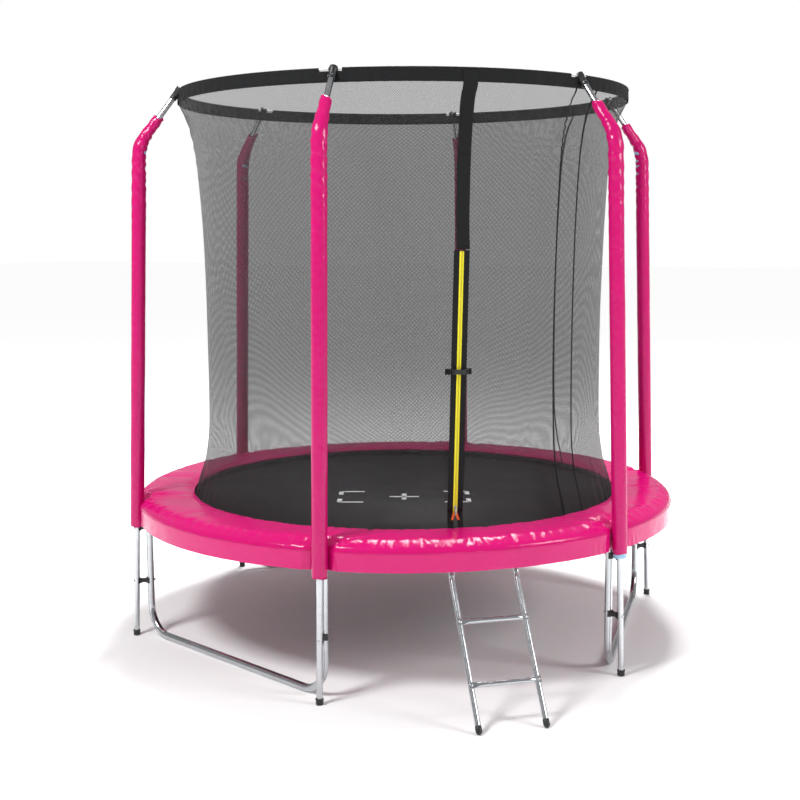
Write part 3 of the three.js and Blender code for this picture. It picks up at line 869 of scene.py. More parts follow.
def settle(
    piece: bpy.types.Object, pinned: Callable[[Vector], bool], pressure: float, spare: float,
    limit: float, frames: int = 20,
) -> None:
    """Lets cloth with a little to spare find its own puffs and folds over its padding.

    Args:
        piece: The piece, before its modifiers.
        pinned: Whether a point is sewn down.
        pressure: How hard the padding pushes.
        spare: How much larger the cloth is than its place, as a part of its size.
        limit: How far a point may move.
        frames: How many frames it settles for.
    """
    start = [v.co.copy() for v in piece.data.vertices]
    sewn = piece.vertex_groups.new(name="sewn")
    sewn.add([i for i, co in enumerate(start) if pinned(co)], 1.0, "REPLACE")
    cloth = piece.modifiers.new("cloth", "CLOTH")
    settings = cloth.settings
    settings.quality = 4
    settings.mass = 0.25
    settings.tension_stiffness = settings.compression_stiffness = 12.0
    settings.shear_stiffness, settings.bending_stiffness = 6.0, 0.08
    settings.use_pressure, settings.uniform_pressure_force = True, pressure
    settings.shrink_min = -spare
    settings.vertex_group_mass = "sewn"
    settings.effector_weights.gravity = 0.0
    cloth.point_cache.frame_end = frames
    scene = bpy.context.scene
    for frame in range(1, frames + 1):
        scene.frame_set(frame)
    settled = piece.evaluated_get(bpy.context.evaluated_depsgraph_get()).data
    ends = [v.co.copy() for v in settled.vertices]
    piece.modifiers.remove(cloth)
    piece.vertex_groups.remove(sewn)
    scene.frame_set(1)
    for v, before, after in zip(piece.data.vertices, start, ends):
        moved = after - before
        v.co = before + moved * (limit / max(moved.length, limit))
    log.info("%s: settled, largest move %.1f mm", piece.name, 1000 * max(
        (b - a).length for a, b in zip(start, ends)))


# ------------------------------------------------------------------ the round frame


@dataclass
class Layout:
    """The places that the sub-assemblies share."""

    poles: int = 6
    door: float = 45.0  # azimuth of the door and the ladder
    hoop_radius: float = 1.202
    hoop_height: float = 0.602
    hoop_tube: float = 0.016
    pole_tube: float = 0.0125
    pole_foot: float = 1.275
    pole_lean: float = 1.9
    top_lean: float = 37.0
    bend_height: float = 2.1602
    bend_radius: float = 0.18
    rod_radius: float = 1.020
    rod_height: float = 2.458
    mat_top: float = field(default_factory=lambda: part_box("jump_mat")[1].z)

    def pole_azimuth(self, index: int) -> float:
        """The azimuth of a pole, counted from 0."""
        return self.door + 360 / self.poles * (index - 0.5)

    def from_pole(self, azimuth: float) -> float:
        """The angle from an azimuth to the nearest pole, in degrees."""
        step = 360 / self.poles
        return wrap(azimuth - self.pole_azimuth(round((azimuth - self.door) / step + 0.5)))

    def pole_radius(self, height: float) -> float:
        """How far a pole's axis is from the middle, below its bend."""
        return self.pole_foot - height * math.tan(math.radians(self.pole_lean))

    def pole_axis(self, low: float, high: float, step: float = 0.012) -> list[Vector]:
        """A pole's axis on the -Y side, between two heights.

        Args:
            low: The height where it starts.
            high: The height where it ends.
            step: The distance between two points.

        Returns:
            Points up the axis.
        """
        lean = math.radians(self.pole_lean)
        centre = (
            self.pole_radius(self.bend_height) - self.bend_radius * math.cos(lean),
            self.bend_height - self.bend_radius * math.sin(lean),
        )
        bend = arc(centre, self.bend_radius, self.pole_lean, self.top_lean, 16)
        line = [(self.pole_foot, 0.0), *bend, (self.rod_radius, self.rod_height)]
        points = even_steps([Vector((0.0, -r, z)) for r, z in line], 0.002)
        return even_steps([p for p in points if low <= p.z <= high], step)

    def pole_end(self) -> Matrix:
        """Places a piece built up +Z on a pole's end, with its origin on the rod."""
        axis = self.pole_axis(self.rod_height - 0.03, self.rod_height)
        along = (axis[-1] - axis[0]).normalized()
        axes = Matrix((SIDE, along.cross(SIDE), along)).transposed().to_4x4()
        return Matrix.Translation((0.0, -self.rod_radius, self.rod_height)) @ axes


@dataclass
class SteelFrame:
    """The hoop's rails, the U-shaped legs, and the clamps that hold the poles to them."""

    layout: Layout
    leg_radius: float = 1.205
    leg_bend: float = 0.13
    leg_top: float = 0.585
    joint_gap: float = 0.0006
    clamp_heights: tuple[float, float] = (0.255, 0.502)
    clamp_width: float = 0.022
    collar_height: float = 0.027
    collar_wall: float = 0.0028
    bolt: float = 0.003
    head: float = 0.0068

    def build(self) -> None:
        """Builds the rails, the legs and the clamps."""
        for i in range(self.layout.poles):
            self.rail(i)
            for level, height in zip(("lower", "upper"), self.clamp_heights):
                self.clamp(i, level, height)
                self.through_bolt(i, level, height)
        for i in range(self.layout.poles // 2):
            self.leg(i)

    def rail(self, index: int) -> None:
        """One rail of the hoop, from one joint to the next."""
        lay = self.layout
        half = 180 / lay.poles
        trim = math.degrees(self.joint_gap / lay.hoop_radius)
        count = 30
        path = [
            place(-half + trim + (2 * half - 2 * trim) * i / count, lay.hoop_radius, lay.hoop_height)
            for i in range(count + 1)
        ]
        shape = Shape()
        shape.tube(path, lay.hoop_tube, 20, UP)
        shape.move(turn(lay.pole_azimuth(index)))
        name = f"top_rail_{index + 1}"
        shape.finish(f"hoop_rail_{index + 1}", GalvanisedSteel(), Body.FRAME, Slot.STEEL, [name])

    def leg(self, index: int) -> None:
        """One leg: two uprights and the ground tube, bent from one tube."""
        lay = self.layout
        half = self.leg_radius * math.sin(math.radians(180 / lay.poles))
        back = -self.leg_radius * math.cos(math.radians(180 / lay.poles))
        low = lay.hoop_tube
        corner = arc((half - self.leg_bend, low + self.leg_bend), self.leg_bend, 0, -90, 14)
        right = [Vector((half, back, self.leg_top)), Vector((half, back, 0.3))]
        right += [Vector((x, back, z)) for x, z in corner]
        left = [Vector((-p.x, p.y, p.z)) for p in reversed(right)]
        shape = Shape()
        shape.tube([*right, Vector((0.0, back, low)), *left], lay.hoop_tube, 24, Vector((0, 1, 0)))
        shape.move(turn(lay.pole_azimuth(2 * index) - 180 / lay.poles))
        name = f"leg_base_{index + 1}"
        shape.finish(f"u_leg_{index + 1}", GalvanisedSteel(), Body.FRAME, Slot.STEEL, [name])

    def collar(self, shape: Shape, bore: float, radius: float, height: float, facing: float) -> None:
        """Adds a half collar that grips a tube.

        Args:
            shape: The clamp.
            bore: The tube's radius.
            radius: How far the tube is from the middle.
            height: The collar's middle height.
            facing: The azimuth that the half collar faces.
        """
        half, reach = self.collar_height / 2, 66
        inner, outer = bore + 0.0003, bore + self.collar_wall
        profile = [(inner, -half), (outer, -half), (outer, half), (inner, half)]
        made = shape.lathe(profile, 12, 2 * reach, facing - reach, closed=True)
        edges = [e for e in {e for v in made for e in v.link_edges} if e.is_boundary]
        bmesh.ops.holes_fill(shape.bm, edges=edges, sides=4)
        shape.move(Matrix.Translation((0.0, -radius, height)), made)

    def clamp(self, index: int, level: str, height: float) -> None:
        """One moulded distance piece between a leg's upright and its pole."""
        lay = self.layout
        pole = lay.pole_radius(height)
        near = self.leg_radius + lay.hoop_tube + 0.0004
        far = pole - lay.pole_tube - 0.0004
        shape = Shape()
        waist = [(0.0, 1.1), (0.18, 0.92), (0.5, 0.82), (0.82, 0.92), (1.0, 1.1)]
        path = [Vector((0.0, -(near + (far - near) * part), height)) for part, _ in waist]
        half = self.clamp_width / 2
        section = [
            point
            for x, z, start in ((1, 1, 0), (-1, 1, 90), (-1, -1, 180), (1, -1, 270))
            for point in arc((x * (half - 0.004), z * (half - 0.004)), 0.004, start, start + 90, 3)
        ]
        placed = [
            m @ Matrix.Diagonal((width, width, 1.0, 1.0))
            for m, (_, width) in zip(stations(path, SIDE), waist)
        ]
        shape.sweep(section, placed)
        self.collar(shape, lay.hoop_tube, self.leg_radius, height, 0)
        self.collar(shape, lay.pole_tube, pole, height, 180)
        shape.move(turn(lay.pole_azimuth(index)))
        nodes = [f"leg_spacer_{index + 1}"] if level == "lower" else []
        shape.finish(
            f"{level}_clamp_{index + 1}", MouldedPlastic(), Body.FRAME, Slot.PLASTIC, nodes,
            bevel=0.0006,
        )

    def through_bolt(self, index: int, level: str, height: float) -> None:
        """The bolt of one clamp: a domed head outside, a nut and a thread's end inside."""
        lay = self.layout
        outside = -(lay.pole_radius(height) + lay.pole_tube)
        inside = -(self.leg_radius - lay.hoop_tube)
        out = Matrix.Rotation(math.radians(90), 4, "X")
        back = Matrix.Rotation(math.radians(-90), 4, "X")
        shape = Shape()
        shape.dome(self.head, 0.0042, Matrix.Translation((0.0, outside + 0.0004, height)) @ out)
        nut = [(0.0, 0.0), (0.0062, 0.0), (0.0066, 0.001), (0.0066, 0.0045), (0.006, 0.0052),
               (0.0, 0.0052)]
        shape.move(
            Matrix.Translation((0.0, inside - 0.0004, height)) @ back, shape.lathe(nut, 6)
        )
        shape.dome(self.bolt, 0.011, Matrix.Translation((0.0, inside, height)) @ back, 12)
        shape.move(turn(lay.pole_azimuth(index)))
        shape.finish(
            f"{level}_bolt_{index + 1}", ZincSpringSteel(), Body.FRAME, Slot.STEEL, bevel=0.0004
        )


@dataclass
class NetPoles:
    """The six bent net poles with their feet, foam sleeves and caps."""

    layout: Layout
    foot_radius: float = 0.0155
    foot_height: float = 0.026
    sleeve_radius: float = 0.0312
    sleeve_lows: tuple[float, ...] = (0.502, 0.517, 0.511, 0.514, 0.506, 0.508)
    sleeve_high: float = 2.338
    foam_radius: float = 0.0285
    foam_lows: tuple[float, ...] = (0.507, 0.499, 0.517, 0.520, 0.512, 0.514)
    foam_high: float = 2.235
    cap_foot: float = 0.050  # from the rod down to the cap's foot
    cap_head: float = 0.016  # from the rod up to the cap's top

    def build(self) -> None:
        """Builds every pole and what is on it."""
        for i in range(self.layout.poles):
            self.pole(i)
            self.foot(i)
            self.foam(i)
            self.sleeve(i)
            self.cap(i)
            self.cap_screw(i)

    def pole(self, index: int) -> None:
        """One bent tube, from its foot up into its cap."""
        shape = Shape()
        shape.tube(self.layout.pole_axis(0.006, self.layout.rod_height - 0.012, 0.03),
                   self.layout.pole_tube, 20)
        shape.move(turn(self.layout.pole_azimuth(index)))
        name = f"pole_{index + 1}"
        shape.finish(f"net_pole_{index + 1}", GalvanisedSteel(), Body.FRAME, Slot.STEEL, [name])

    def foot(self, index: int) -> None:
        """The moulded cup that a pole stands in, with a lip and a rounded base."""
        r, h = self.foot_radius, self.foot_height
        base = arc((r - 0.003, 0.003), 0.003, -90, 0, 4)
        profile = [(0.0, 0.0), *base, (r - 0.0004, h - 0.006), (r + 0.0009, h - 0.0052),
                   (r + 0.0011, h - 0.001), (r + 0.0003, h), (self.layout.pole_tube, h)]
        shape = Shape()
        shape.lathe([*profile, (self.layout.pole_tube, 0.006), (0.0, 0.006)], 36)
        middle = self.layout.pole_radius(h / 2)
        shape.move(Matrix.Translation((0.0, -middle, 0.0)))
        shape.move(turn(self.layout.pole_azimuth(index)))
        name = f"pole_foot_{index + 1}"
        shape.finish(f"foot_cup_{index + 1}", MouldedPlastic(), Body.FRAME, Slot.PLASTIC, [name])

    def foam(self, index: int) -> None:
        """The blue foam tube inside a sleeve. Its lower end stands out of the cloth."""
        shape = Shape()
        path = self.layout.pole_axis(self.foam_lows[index], self.foam_high, 0.04)
        rings = shape.tube(path, self.foam_radius, 24)
        for ring, inset in ((rings[0], 0.93), (rings[-1], 0.93)):
            middle = sum((v.co for v in ring), Vector()) / len(ring)
            for v in ring:
                v.co = middle + (v.co - middle) * inset
        shape.move(turn(self.layout.pole_azimuth(index)))
        shape.finish(f"sleeve_foam_{index + 1}", BlueFoam(), Body.FRAME, Slot.FOAM)

    def sleeve(self, index: int) -> None:
        """The pink cloth tube round the foam, wrinkled inside the pole's bend."""
        path = self.layout.pole_axis(self.sleeve_lows[index], self.sleeve_high, 0.009)
        sides = 36
        shape = Shape()
        rings = shape.sweep(
            circle(self.sleeve_radius, sides), stations(path, SIDE), capped=False
        )
        seed = Vector((7.3 * index, 2.1, 0.4))
        total = len(rings) - 1
        for row, (ring, middle) in enumerate(zip(rings, path)):
            along = (path[min(row + 1, total)] - path[max(row - 1, 0)]).normalized()
            for i, v in enumerate(ring):
                around = math.tau * i / sides
                out = (v.co - middle).normalized()
                swell = self.swell(row * 0.009, middle.z, around, seed)
                v.co += out * swell + along * self.rim(row, total, around, index)
        shape.move(turn(self.layout.pole_azimuth(index)))
        name = f"pole_sleeve_{index + 1}"
        piece = shape.finish(
            f"foam_sleeve_{index + 1}", SleeveVinyl(), Body.FRAME, Slot.SLEEVE, [name],
            wall=0.0009,
        )

    def swell(self, along: float, height: float, around: float, seed: Vector) -> float:
        """How far a sleeve's cloth stands out at one point.

        Args:
            along: The distance up the sleeve.
            height: The height there.
            around: The angle round the sleeve, with the inside of the bend at a quarter turn.
            seed: Where this sleeve reads the noise.

        Returns:
            The distance, outwards.
        """
        inside = max(math.sin(around), 0.0)
        flank = max(1 - abs(math.sin(around)), 0.0)
        bend = bell(height - self.layout.bend_height - 0.03, 0.17)
        wander = noise.noise(seed + Vector((math.cos(around), math.sin(around), along * 9)))
        fold = math.sin(math.tau * along / 0.034 + 2.4 * wander)
        creases = -0.0046 * bend * inside * (0.5 + 0.5 * fold) ** 2
        creases += 0.0018 * bend * flank * fold
        slant = math.sin(math.tau * along / 0.061 + 1.7 * around + 3 * wander)
        creases += 0.0013 * bell(height - self.layout.bend_height, 0.26) * slant
        creases -= 0.0078 * smooth(height, self.layout.bend_height + 0.04, self.sleeve_high - 0.03)
        lumps = 0.0010 * noise.noise(seed + Vector((around * 0.6, 3.0, along * 4)))
        foot = -0.0016 * bell(along, 0.02)
        rings = 0.0006 * wander * (1 - bend)
        return creases + lumps + foot + rings

    def rim(self, row: int, total: int, around: float, index: int) -> float:
        """How far the cut ends run on: the top is cut on a slant, with one corner standing up."""
        corner = 170 + 25 * math.sin(2.3 * index)
        slant = 0.007 * math.cos(around - math.radians(corner))
        slant += 0.008 * bell(wrap(math.degrees(around) - corner), 30)
        hem = 0.002 * math.sin(3 * around + index)
        return slant * smooth(row, total - 4, total) + hem * smooth(4 - row, 0, 4)

    def cap(self, index: int) -> None:
        """The moulded cap on a pole's end, with bosses where the rod goes through."""
        head = arc((0.0, -0.008), 0.0238, 44, 90, 6)
        profile = [
            (0.0130, -self.cap_foot), (0.0146, -self.cap_foot), (0.0152, -self.cap_foot + 0.001),
            (0.0152, -0.036), (0.0147, -0.035), (0.0147, -0.032), (0.0152, -0.031),
            (0.0152, -0.010), (0.0171, -0.007), (0.0173, 0.006), *head[:-1], (0.0, self.cap_head),
        ]
        shape = Shape()
        shape.lathe(profile, 40)
        shape.lathe([(0.0130, -self.cap_foot), (0.0130, -self.cap_foot + 0.03), (0.0, -0.02)], 40)
        boss = [(0.0, 0.0195), (0.0062, 0.0195), (0.0068, 0.0188), (0.0078, 0.0), (0.0068, -0.0188),
                (0.0062, -0.0195), (0.0, -0.0195)]
        across = Matrix.Rotation(math.radians(90), 4, "Y")
        shape.move(across, shape.lathe(boss, 24))
        shape.move(self.layout.pole_end())
        shape.move(turn(self.layout.pole_azimuth(index)))
        name = f"pole_cap_{index + 1}"
        shape.finish(f"end_cap_{index + 1}", MouldedPlastic(), Body.FRAME, Slot.PLASTIC, [name])

    def cap_screw(self, index: int) -> None:
        """The small screw through a cap's foot, with a cross cut in its head."""
        shape = Shape()
        shape.dome(0.0034, 0.0018, Matrix.Identity(4), 16)
        for turned in (0, 90):
            slot = shape.block((-0.0018, -0.0003, 0.00165), (0.0018, 0.0003, 0.00185),
                               Matrix.Rotation(math.radians(turned), 4, "Z"))
            bmesh.ops.reverse_faces(shape.bm, faces=list({f for v in slot for f in v.link_faces}))
        seat = Matrix.Rotation(math.radians(-60), 4, "Z") @ Matrix.Translation((0.0, -0.0151, -0.040))
        shape.move(seat @ Matrix.Rotation(math.radians(90), 4, "X"))
        shape.move(self.layout.pole_end())
        shape.move(turn(self.layout.pole_azimuth(index)))
        shape.finish(f"cap_screw_{index + 1}", ZincSpringSteel(), Body.FRAME, Slot.STEEL)


# ------------------------------------------------------------------ net


@dataclass
class SafetyNet:
    """The net wall, its seams, its top band and the rod hoop that holds it open."""

    layout: Layout
    levels: tuple[tuple[float, float], ...] = (
        (0.614, 0.985), (0.700, 0.962), (0.800, 0.934), (0.960, 0.915), (1.400, 0.914),
        (1.760, 0.921), (2.000, 0.933), (2.200, 0.952), (2.330, 0.981), (2.404, 1.017),
        (2.430, 1.020),
    )
    zip_low: tuple[float, float, float] = (-0.042, 0.966, 0.705)
    zip_high: tuple[float, float, float] = (-0.006, 0.938, 1.760)
    door_pull: float = 10.0  # how far round the net is pulled out to the zip, in degrees
    behind_zip: float = 0.0045
    band_low: float = field(default_factory=lambda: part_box("net_band")[0].z)
    band_high: float = field(default_factory=lambda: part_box("net_band")[1].z)
    seam_azimuths: tuple[float, ...] = (74.0, 82.0, 153.0)

    def zip_point(self, height: float, ahead: float = 0.0, aside: float = 0.0) -> Vector:
        """A point on the zip's straight line, or off it ahead or to the side."""
        part = (height - self.zip_low[2]) / (self.zip_high[2] - self.zip_low[2])
        x = self.zip_low[0] + (self.zip_high[0] - self.zip_low[0]) * part + aside
        out = self.zip_low[1] + (self.zip_high[1] - self.zip_low[1]) * part + ahead
        return turn(self.layout.door) @ Vector((x, -out, height))

    def radius(self, azimuth: float, height: float) -> float:
        """The wall's distance from the axis, pulled out to the zip near the door."""
        free = spline(self.levels, height)
        near = bell(wrap(azimuth - self.layout.door), self.door_pull)
        stretch = smooth(height, 0.64, 0.72) * (1 - smooth(height, 1.74, 1.92))
        door = self.zip_point(min(max(height, self.zip_low[2]), self.zip_high[2]), -self.behind_zip)
        return free + (door.to_2d().length - free) * near * stretch

    def slack(self, azimuth: float, height: float) -> float:
        """How far the cloth stands out of its plain shape in folds and ripples."""
        angle = math.radians(azimuth)
        at = Vector((2.6 * math.sin(angle), 2.6 * math.cos(angle), 0.0))
        wave = noise.noise(at * 1.3 + Vector((0, 0, height * 1.5)))
        gather = math.sin(109 * angle + 5 * noise.noise(at * 2.5))
        top = bell(height - self.band_low, 0.17) * gather * 0.0042
        foot = bell(height - 0.66, 0.09) * math.sin(77 * angle + 3 * wave) * 0.0035
        to_pole = self.layout.from_pole(azimuth)
        drag = bell(to_pole, 9.0) * bell(height - 2.27, 0.14)
        ripples = 0.0045 * drag * math.sin(height * 190 + 0.22 * abs(to_pole))
        quiet = 1 - 0.85 * bell(wrap(azimuth - self.layout.door), self.door_pull)
        inside_band = smooth(self.band_low - height, -0.012, 0.05)
        return (0.007 * wave * quiet + top + foot + ripples) * max(inside_band, 0.0)

    def point(self, azimuth: float, height: float, lift: float = 0.0) -> Vector:
        """A point on the wall, or lifted off it outwards."""
        return place(
            azimuth, self.radius(azimuth, height) + self.slack(azimuth, height) + lift, height
        )

    def build(self) -> None:
        """Builds the net, its seams, the band and the rod."""
        for i in range(3):
            self.panel(i)
        for i, azimuth in enumerate(self.seam_azimuths):
            self.seam(i, azimuth)
        self.foot_binding()
        self.band()
        self.rod()

    def panel(self, index: int) -> None:
        """One width of net, from the mat up into the band."""
        span, low, high = 120.0, self.levels[0][0], self.levels[-1][0]
        start = self.layout.door + span * index
        shape = Shape()
        shape.grid(
            120, 84, (2.0, high - low),
            lambda u, v: self.point(start + span * u, low + (high - low) * v),
        )
        piece = shape.finish(
            f"net_width_{index + 1}", KnittedNet(), None, Slot.NET, [f"net_panel_{index + 1}"]
        )
        blend_to_mat(piece)

    def seam(self, index: int, azimuth: float) -> None:
        """One stitched seam up the wall, bound with a narrow tape."""
        width, low, high = 0.009, 0.622, self.band_low + 0.01
        half = math.degrees(width / 2 / 0.93)
        shape = Shape()
        shape.grid(
            3, 110, (width, high - low),
            lambda u, v: self.point(
                azimuth + half * (2 * u - 1), low + (high - low) * v, 0.0014),
        )
        piece = shape.finish(f"net_seam_{index + 1}", Webbing(), None, Slot.WEBBING, wall=0.0008)
        blend_to_mat(piece)

    def foot_binding(self) -> None:
        """The webbing that binds the net's foot to the mat, just inside the springs."""
        shape = Shape()
        shape.grid(
            360, 3, (6.2, 0.02),
            lambda u, v: self.point(360 * u + self.layout.door, 0.6115 + 0.02 * v, 0.001),
        )
        bmesh.ops.remove_doubles(shape.bm, verts=shape.bm.verts[:], dist=1e-5)
        shape.finish("net_foot_binding", Webbing(), Body.MAT, Slot.WEBBING, wall=0.0012)

    def open_at_cap(self, azimuth: float) -> bool:
        """Whether the band's top is cut open here, so that the rod shows beside a cap."""
        reach = math.radians(self.layout.from_pole(azimuth)) * self.layout.rod_radius
        return -0.060 < reach < 0.034

    def band(self) -> None:
        """The cloth channel over the rod, gathered a little, and cut open at each cap."""
        rod, low, high = self.layout.rod_radius, self.band_low, self.band_high
        top = arc((rod, high - 0.0068), 0.0062, 0, 180, 8)
        side = [low + (high - 0.0068 - low) * i / 7 for i in range(7)]
        outline = [(rod + 0.0046, z) for z in side] + top + [(rod - 0.0046, z) for z in side[::-1]]
        columns = 1080
        shape = Shape()

        def cloth(u: float, v: float) -> Vector:
            """Places one corner of the band's cloth."""
            azimuth = 360 * u
            r, z = outline[round(v * (len(outline) - 1))]
            drop = (high - z) / (high - low)
            at = place(azimuth, 1.0, 0.0)
            gather = math.sin(118 * math.radians(azimuth) + 4 * noise.noise(at * 3))
            fine = noise.noise(at * 45 + UP * z * 40)
            return place(azimuth, r + (0.0011 * gather + 0.0016 * fine) * drop, z)

        shape.grid(columns, len(outline) - 1, (6.4, 0.115), cloth)
        bmesh.ops.remove_doubles(shape.bm, verts=shape.bm.verts[:], dist=1e-5)
        cut = []
        for face in shape.bm.faces:
            middle = face.calc_center_median()
            azimuth = math.degrees(math.atan2(middle.x, -middle.y))
            if middle.z > self.layout.rod_height - 0.009 and self.open_at_cap(azimuth):
                cut.append(face)
        bmesh.ops.delete(shape.bm, geom=cut, context="FACES")
        piece = shape.finish(
            "net_top_band", Webbing(), Body.FRAME, Slot.WEBBING, ["net_band"], wall=0.0011
        )

    def rod(self) -> None:
        """The glass-fibre rod, bent into a hoop through the caps."""
        shape = Shape()
        section = [
            (self.layout.rod_radius + x, self.layout.rod_height + y) for x, y in circle(0.004, 12)
        ]
        shape.lathe(section, 216, closed=True)
        shape.finish("net_rod_hoop", FibreGlass(), Body.FRAME, Slot.ROD, ["net_ring_rod"])


def blend_to_mat(piece: bpy.types.Object) -> None:
    """Bakes a piece's placement into its points; it rides on no body."""
    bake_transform(piece)


@dataclass
class Door:
    """The door in the net: the zip with its slider, the buckle and the cover flap."""

    net: SafetyNet
    tape_half: float = 0.0325
    chain_half: float = 0.009
    coil_half: float = 0.0028
    flap_half: float = 0.028
    slider_height: float = 0.722
    buckle_height: float = 1.275
    buckle_half: float = 0.032
    buckle_split: float = 0.004

    def build(self) -> None:
        """Builds the door's pieces."""
        self.border()
        self.chain()
        self.opening()
        self.slider()
        self.pull()
        self.flap()
        self.buckle()

    def strip(
        self, shape: Shape, left: float, right: float, low: float, high: float, lift: float,
        rows: int = 60,
    ) -> None:
        """Lays a strip along the zip, between two sides and two heights."""
        shape.grid(
            4, rows, (right - left, high - low),
            lambda u, v: self.net.zip_point(
                low + (high - low) * v, lift, left + (right - left) * u),
        )

    def border(self) -> None:
        """The black webbing either side of the zip."""
        low, high = self.net.zip_low[2], self.net.zip_high[2]
        for name, sign in (("left", -1), ("right", 1)):
            inner, outer = sign * self.chain_half * 0.8, sign * self.tape_half
            shape = Shape()
            self.strip(shape, min(inner, outer), max(inner, outer), low, high, -0.0018)
            nodes = ["door_zip"] if sign < 0 else []
            piece = shape.finish(
                f"door_border_{name}", Webbing(), Body.FRAME, Slot.WEBBING, nodes, wall=0.0016
            )

    def chain(self) -> None:
        """The zip's yellow tape, and the coil down its middle."""
        low, high = self.net.zip_low[2] - 0.004, self.net.zip_high[2] - 0.004
        tape = Shape()
        self.strip(tape, -self.chain_half, self.chain_half, low, high, -0.0006)
        tape.finish("zip_tape_yellow", ZipTape(), Body.FRAME, Slot.ZIP_TAPE, wall=0.0008)
        coil = Shape()
        rows = 120
        coil.grid(
            8, rows, (2 * self.coil_half, high - low),
            lambda u, v: self.net.zip_point(
                low + (high - low) * v, 0.0018 * math.sin(math.pi * u) - 0.0003,
                self.coil_half * (2 * u - 1)),
        )
        coil.finish("zip_coil", NylonCoil(), Body.FRAME, Slot.ZIP_TAPE, wall=0.0006)

    def opening(self) -> None:
        """The two bright tape ends that part in a V below the slider."""
        low, high = 0.672, self.net.zip_low[2]
        for name, sign in (("left", -1), ("right", 1)):
            self.border_foot(name, sign)
            shape = Shape()

            def tail(u: float, v: float, sign: int = sign) -> Vector:
                """Places one corner of a tape end."""
                spread = sign * (0.004 + 0.010 * (1 - v) ** 1.3)
                height = low + (high - low) * v
                beyond = self.net.zip_point(self.net.zip_low[2], 0.0, spread + 0.010 * (u - 0.5))
                azimuth = math.degrees(math.atan2(beyond.x, -beyond.y))
                out = max(self.net.radius(azimuth, height) + 0.004, 0.0)
                return place(azimuth, out, height)

            shape.grid(3, 12, (0.010, high - low), tail)
            piece = shape.finish(
                f"zip_tail_{name}", OrangeTape(), None, Slot.ZIP_TAPE, wall=0.0010)
            blend_to_mat(piece)

    def border_foot(self, name: str, sign: int) -> None:
        """The border's last stretch, from the zip's foot down to the mat."""
        low, high = 0.618, self.net.zip_low[2] + 0.002
        near, far = sign * 0.010, sign * self.tape_half

        def cloth(u: float, v: float) -> Vector:
            """Places one corner of the stretch."""
            height = low + (high - low) * v
            beside = self.net.zip_point(self.net.zip_low[2], 0.0, near + (far - near) * u)
            azimuth = math.degrees(math.atan2(beside.x, -beside.y))
            part = smooth(height, high - 0.03, high)
            out = self.net.radius(azimuth, height) + 0.0016
            return place(azimuth, out + (beside.to_2d().length - 0.0018 - out) * part, height)

        shape = Shape()
        shape.grid(4, 16, (abs(far - near), high - low), cloth)
        piece = shape.finish(
            f"door_border_foot_{name}", Webbing(), None, Slot.WEBBING, wall=0.0014)
        blend_to_mat(piece)

    def zip_axes(self, height: float) -> Matrix:
        """Places a piece built with x across, -y out and z up the zip."""
        rise = (self.net.zip_point(1.7) - self.net.zip_point(0.8)).normalized()
        side = turn(self.net.layout.door) @ SIDE
        across = (side - rise * side.dot(rise)).normalized()
        axes = Matrix((across, rise.cross(across), rise)).transposed().to_4x4()
        return Matrix.Translation(self.net.zip_point(height)) @ axes

    def slider(self) -> None:
        """The zip's slider: a wedge-shaped body, two wings and a bridge for the tab."""
        shape = Shape()
        outline = [(-0.0055, 0.009), (0.0055, 0.009), (0.0055, 0.001), (0.0036, -0.009),
                   (-0.0036, -0.009), (-0.0055, 0.001)]
        for near, far, grow in ((-0.0014, -0.0036, 1.0), (-0.0036, -0.0052, 0.78)):
            path = [Vector((0.0, y, 0.0)) for y in (near, far)]
            placed = [
                Matrix.Translation(p) @ Matrix.Rotation(math.radians(90), 4, "X")
                @ Matrix.Diagonal((grow, grow, 1.0, 1.0))
                for p in path
            ]
            shape.sweep(outline, placed)
        hoop = arc((-0.0046, 0.0), 0.0028, 90, 270, 8)
        bridge = [Vector((0.0, y, 1.9 * z + 0.0018)) for y, z in hoop]
        shape.tube(bridge, 0.0009, 8)
        shape.move(self.zip_axes(self.slider_height))
        shape.finish("zip_slider_body", ZipAlloy(), Body.SLIDER, Slot.ZIP_METAL, ["zip_slider"],
                     bevel=0.0004)

    def pull(self) -> None:
        """The pull tab: a link and a plate with a pressed recess."""
        shape = Shape()
        link = [Vector((x, -0.0088, z)) for x, z in arc((0.0, 0.0), 0.0029, -60, 240, 14)]
        shape.tube(link, 0.0007, 8, Vector((0, 1, 0)))
        plate = shape.block((-0.004, -0.0095, -0.028), (0.004, -0.0081, -0.0022))
        front = min({f for v in plate for f in v.link_faces}, key=lambda f: f.normal.y)
        bmesh.ops.inset_region(shape.bm, faces=[front], thickness=0.0013)
        bmesh.ops.translate(shape.bm, verts=list(front.verts), vec=(0.0, 0.0005, 0.0))
        shape.move(self.zip_axes(self.slider_height))
        shape.finish("zip_pull_tab", ZipAlloy(), Body.PULL_TAB, Slot.ZIP_METAL, ["zip_pull"],
                     bevel=0.0004)

    def flap(self) -> None:
        """The strip that closes the upper door, from the zip's end over the band."""
        net, door = self.net, self.net.layout.door
        low, high = 1.764, self.net.band_high - 0.009
        middle = math.degrees(math.atan2(0.0, 1.0)) + door

        def cloth(u: float, v: float) -> Vector:
            """Places one corner of the flap."""
            height = low + (high - low) * v
            azimuth = middle + math.degrees(self.flap_half / 0.96) * (2 * u - 1)
            wall = net.radius(azimuth, min(height, net.levels[-1][0]))
            wall += net.slack(azimuth, height) * (1 - smooth(height, 2.3, 2.38))
            over = net.layout.rod_radius + 0.0078
            out = wall + 0.003 + (over - wall - 0.003) * smooth(height, 2.36, 2.412)
            puff = 0.0012 * math.sin(7 * math.pi * u) * bell(height - 2.28, 0.1)
            return place(azimuth, out + puff, height)

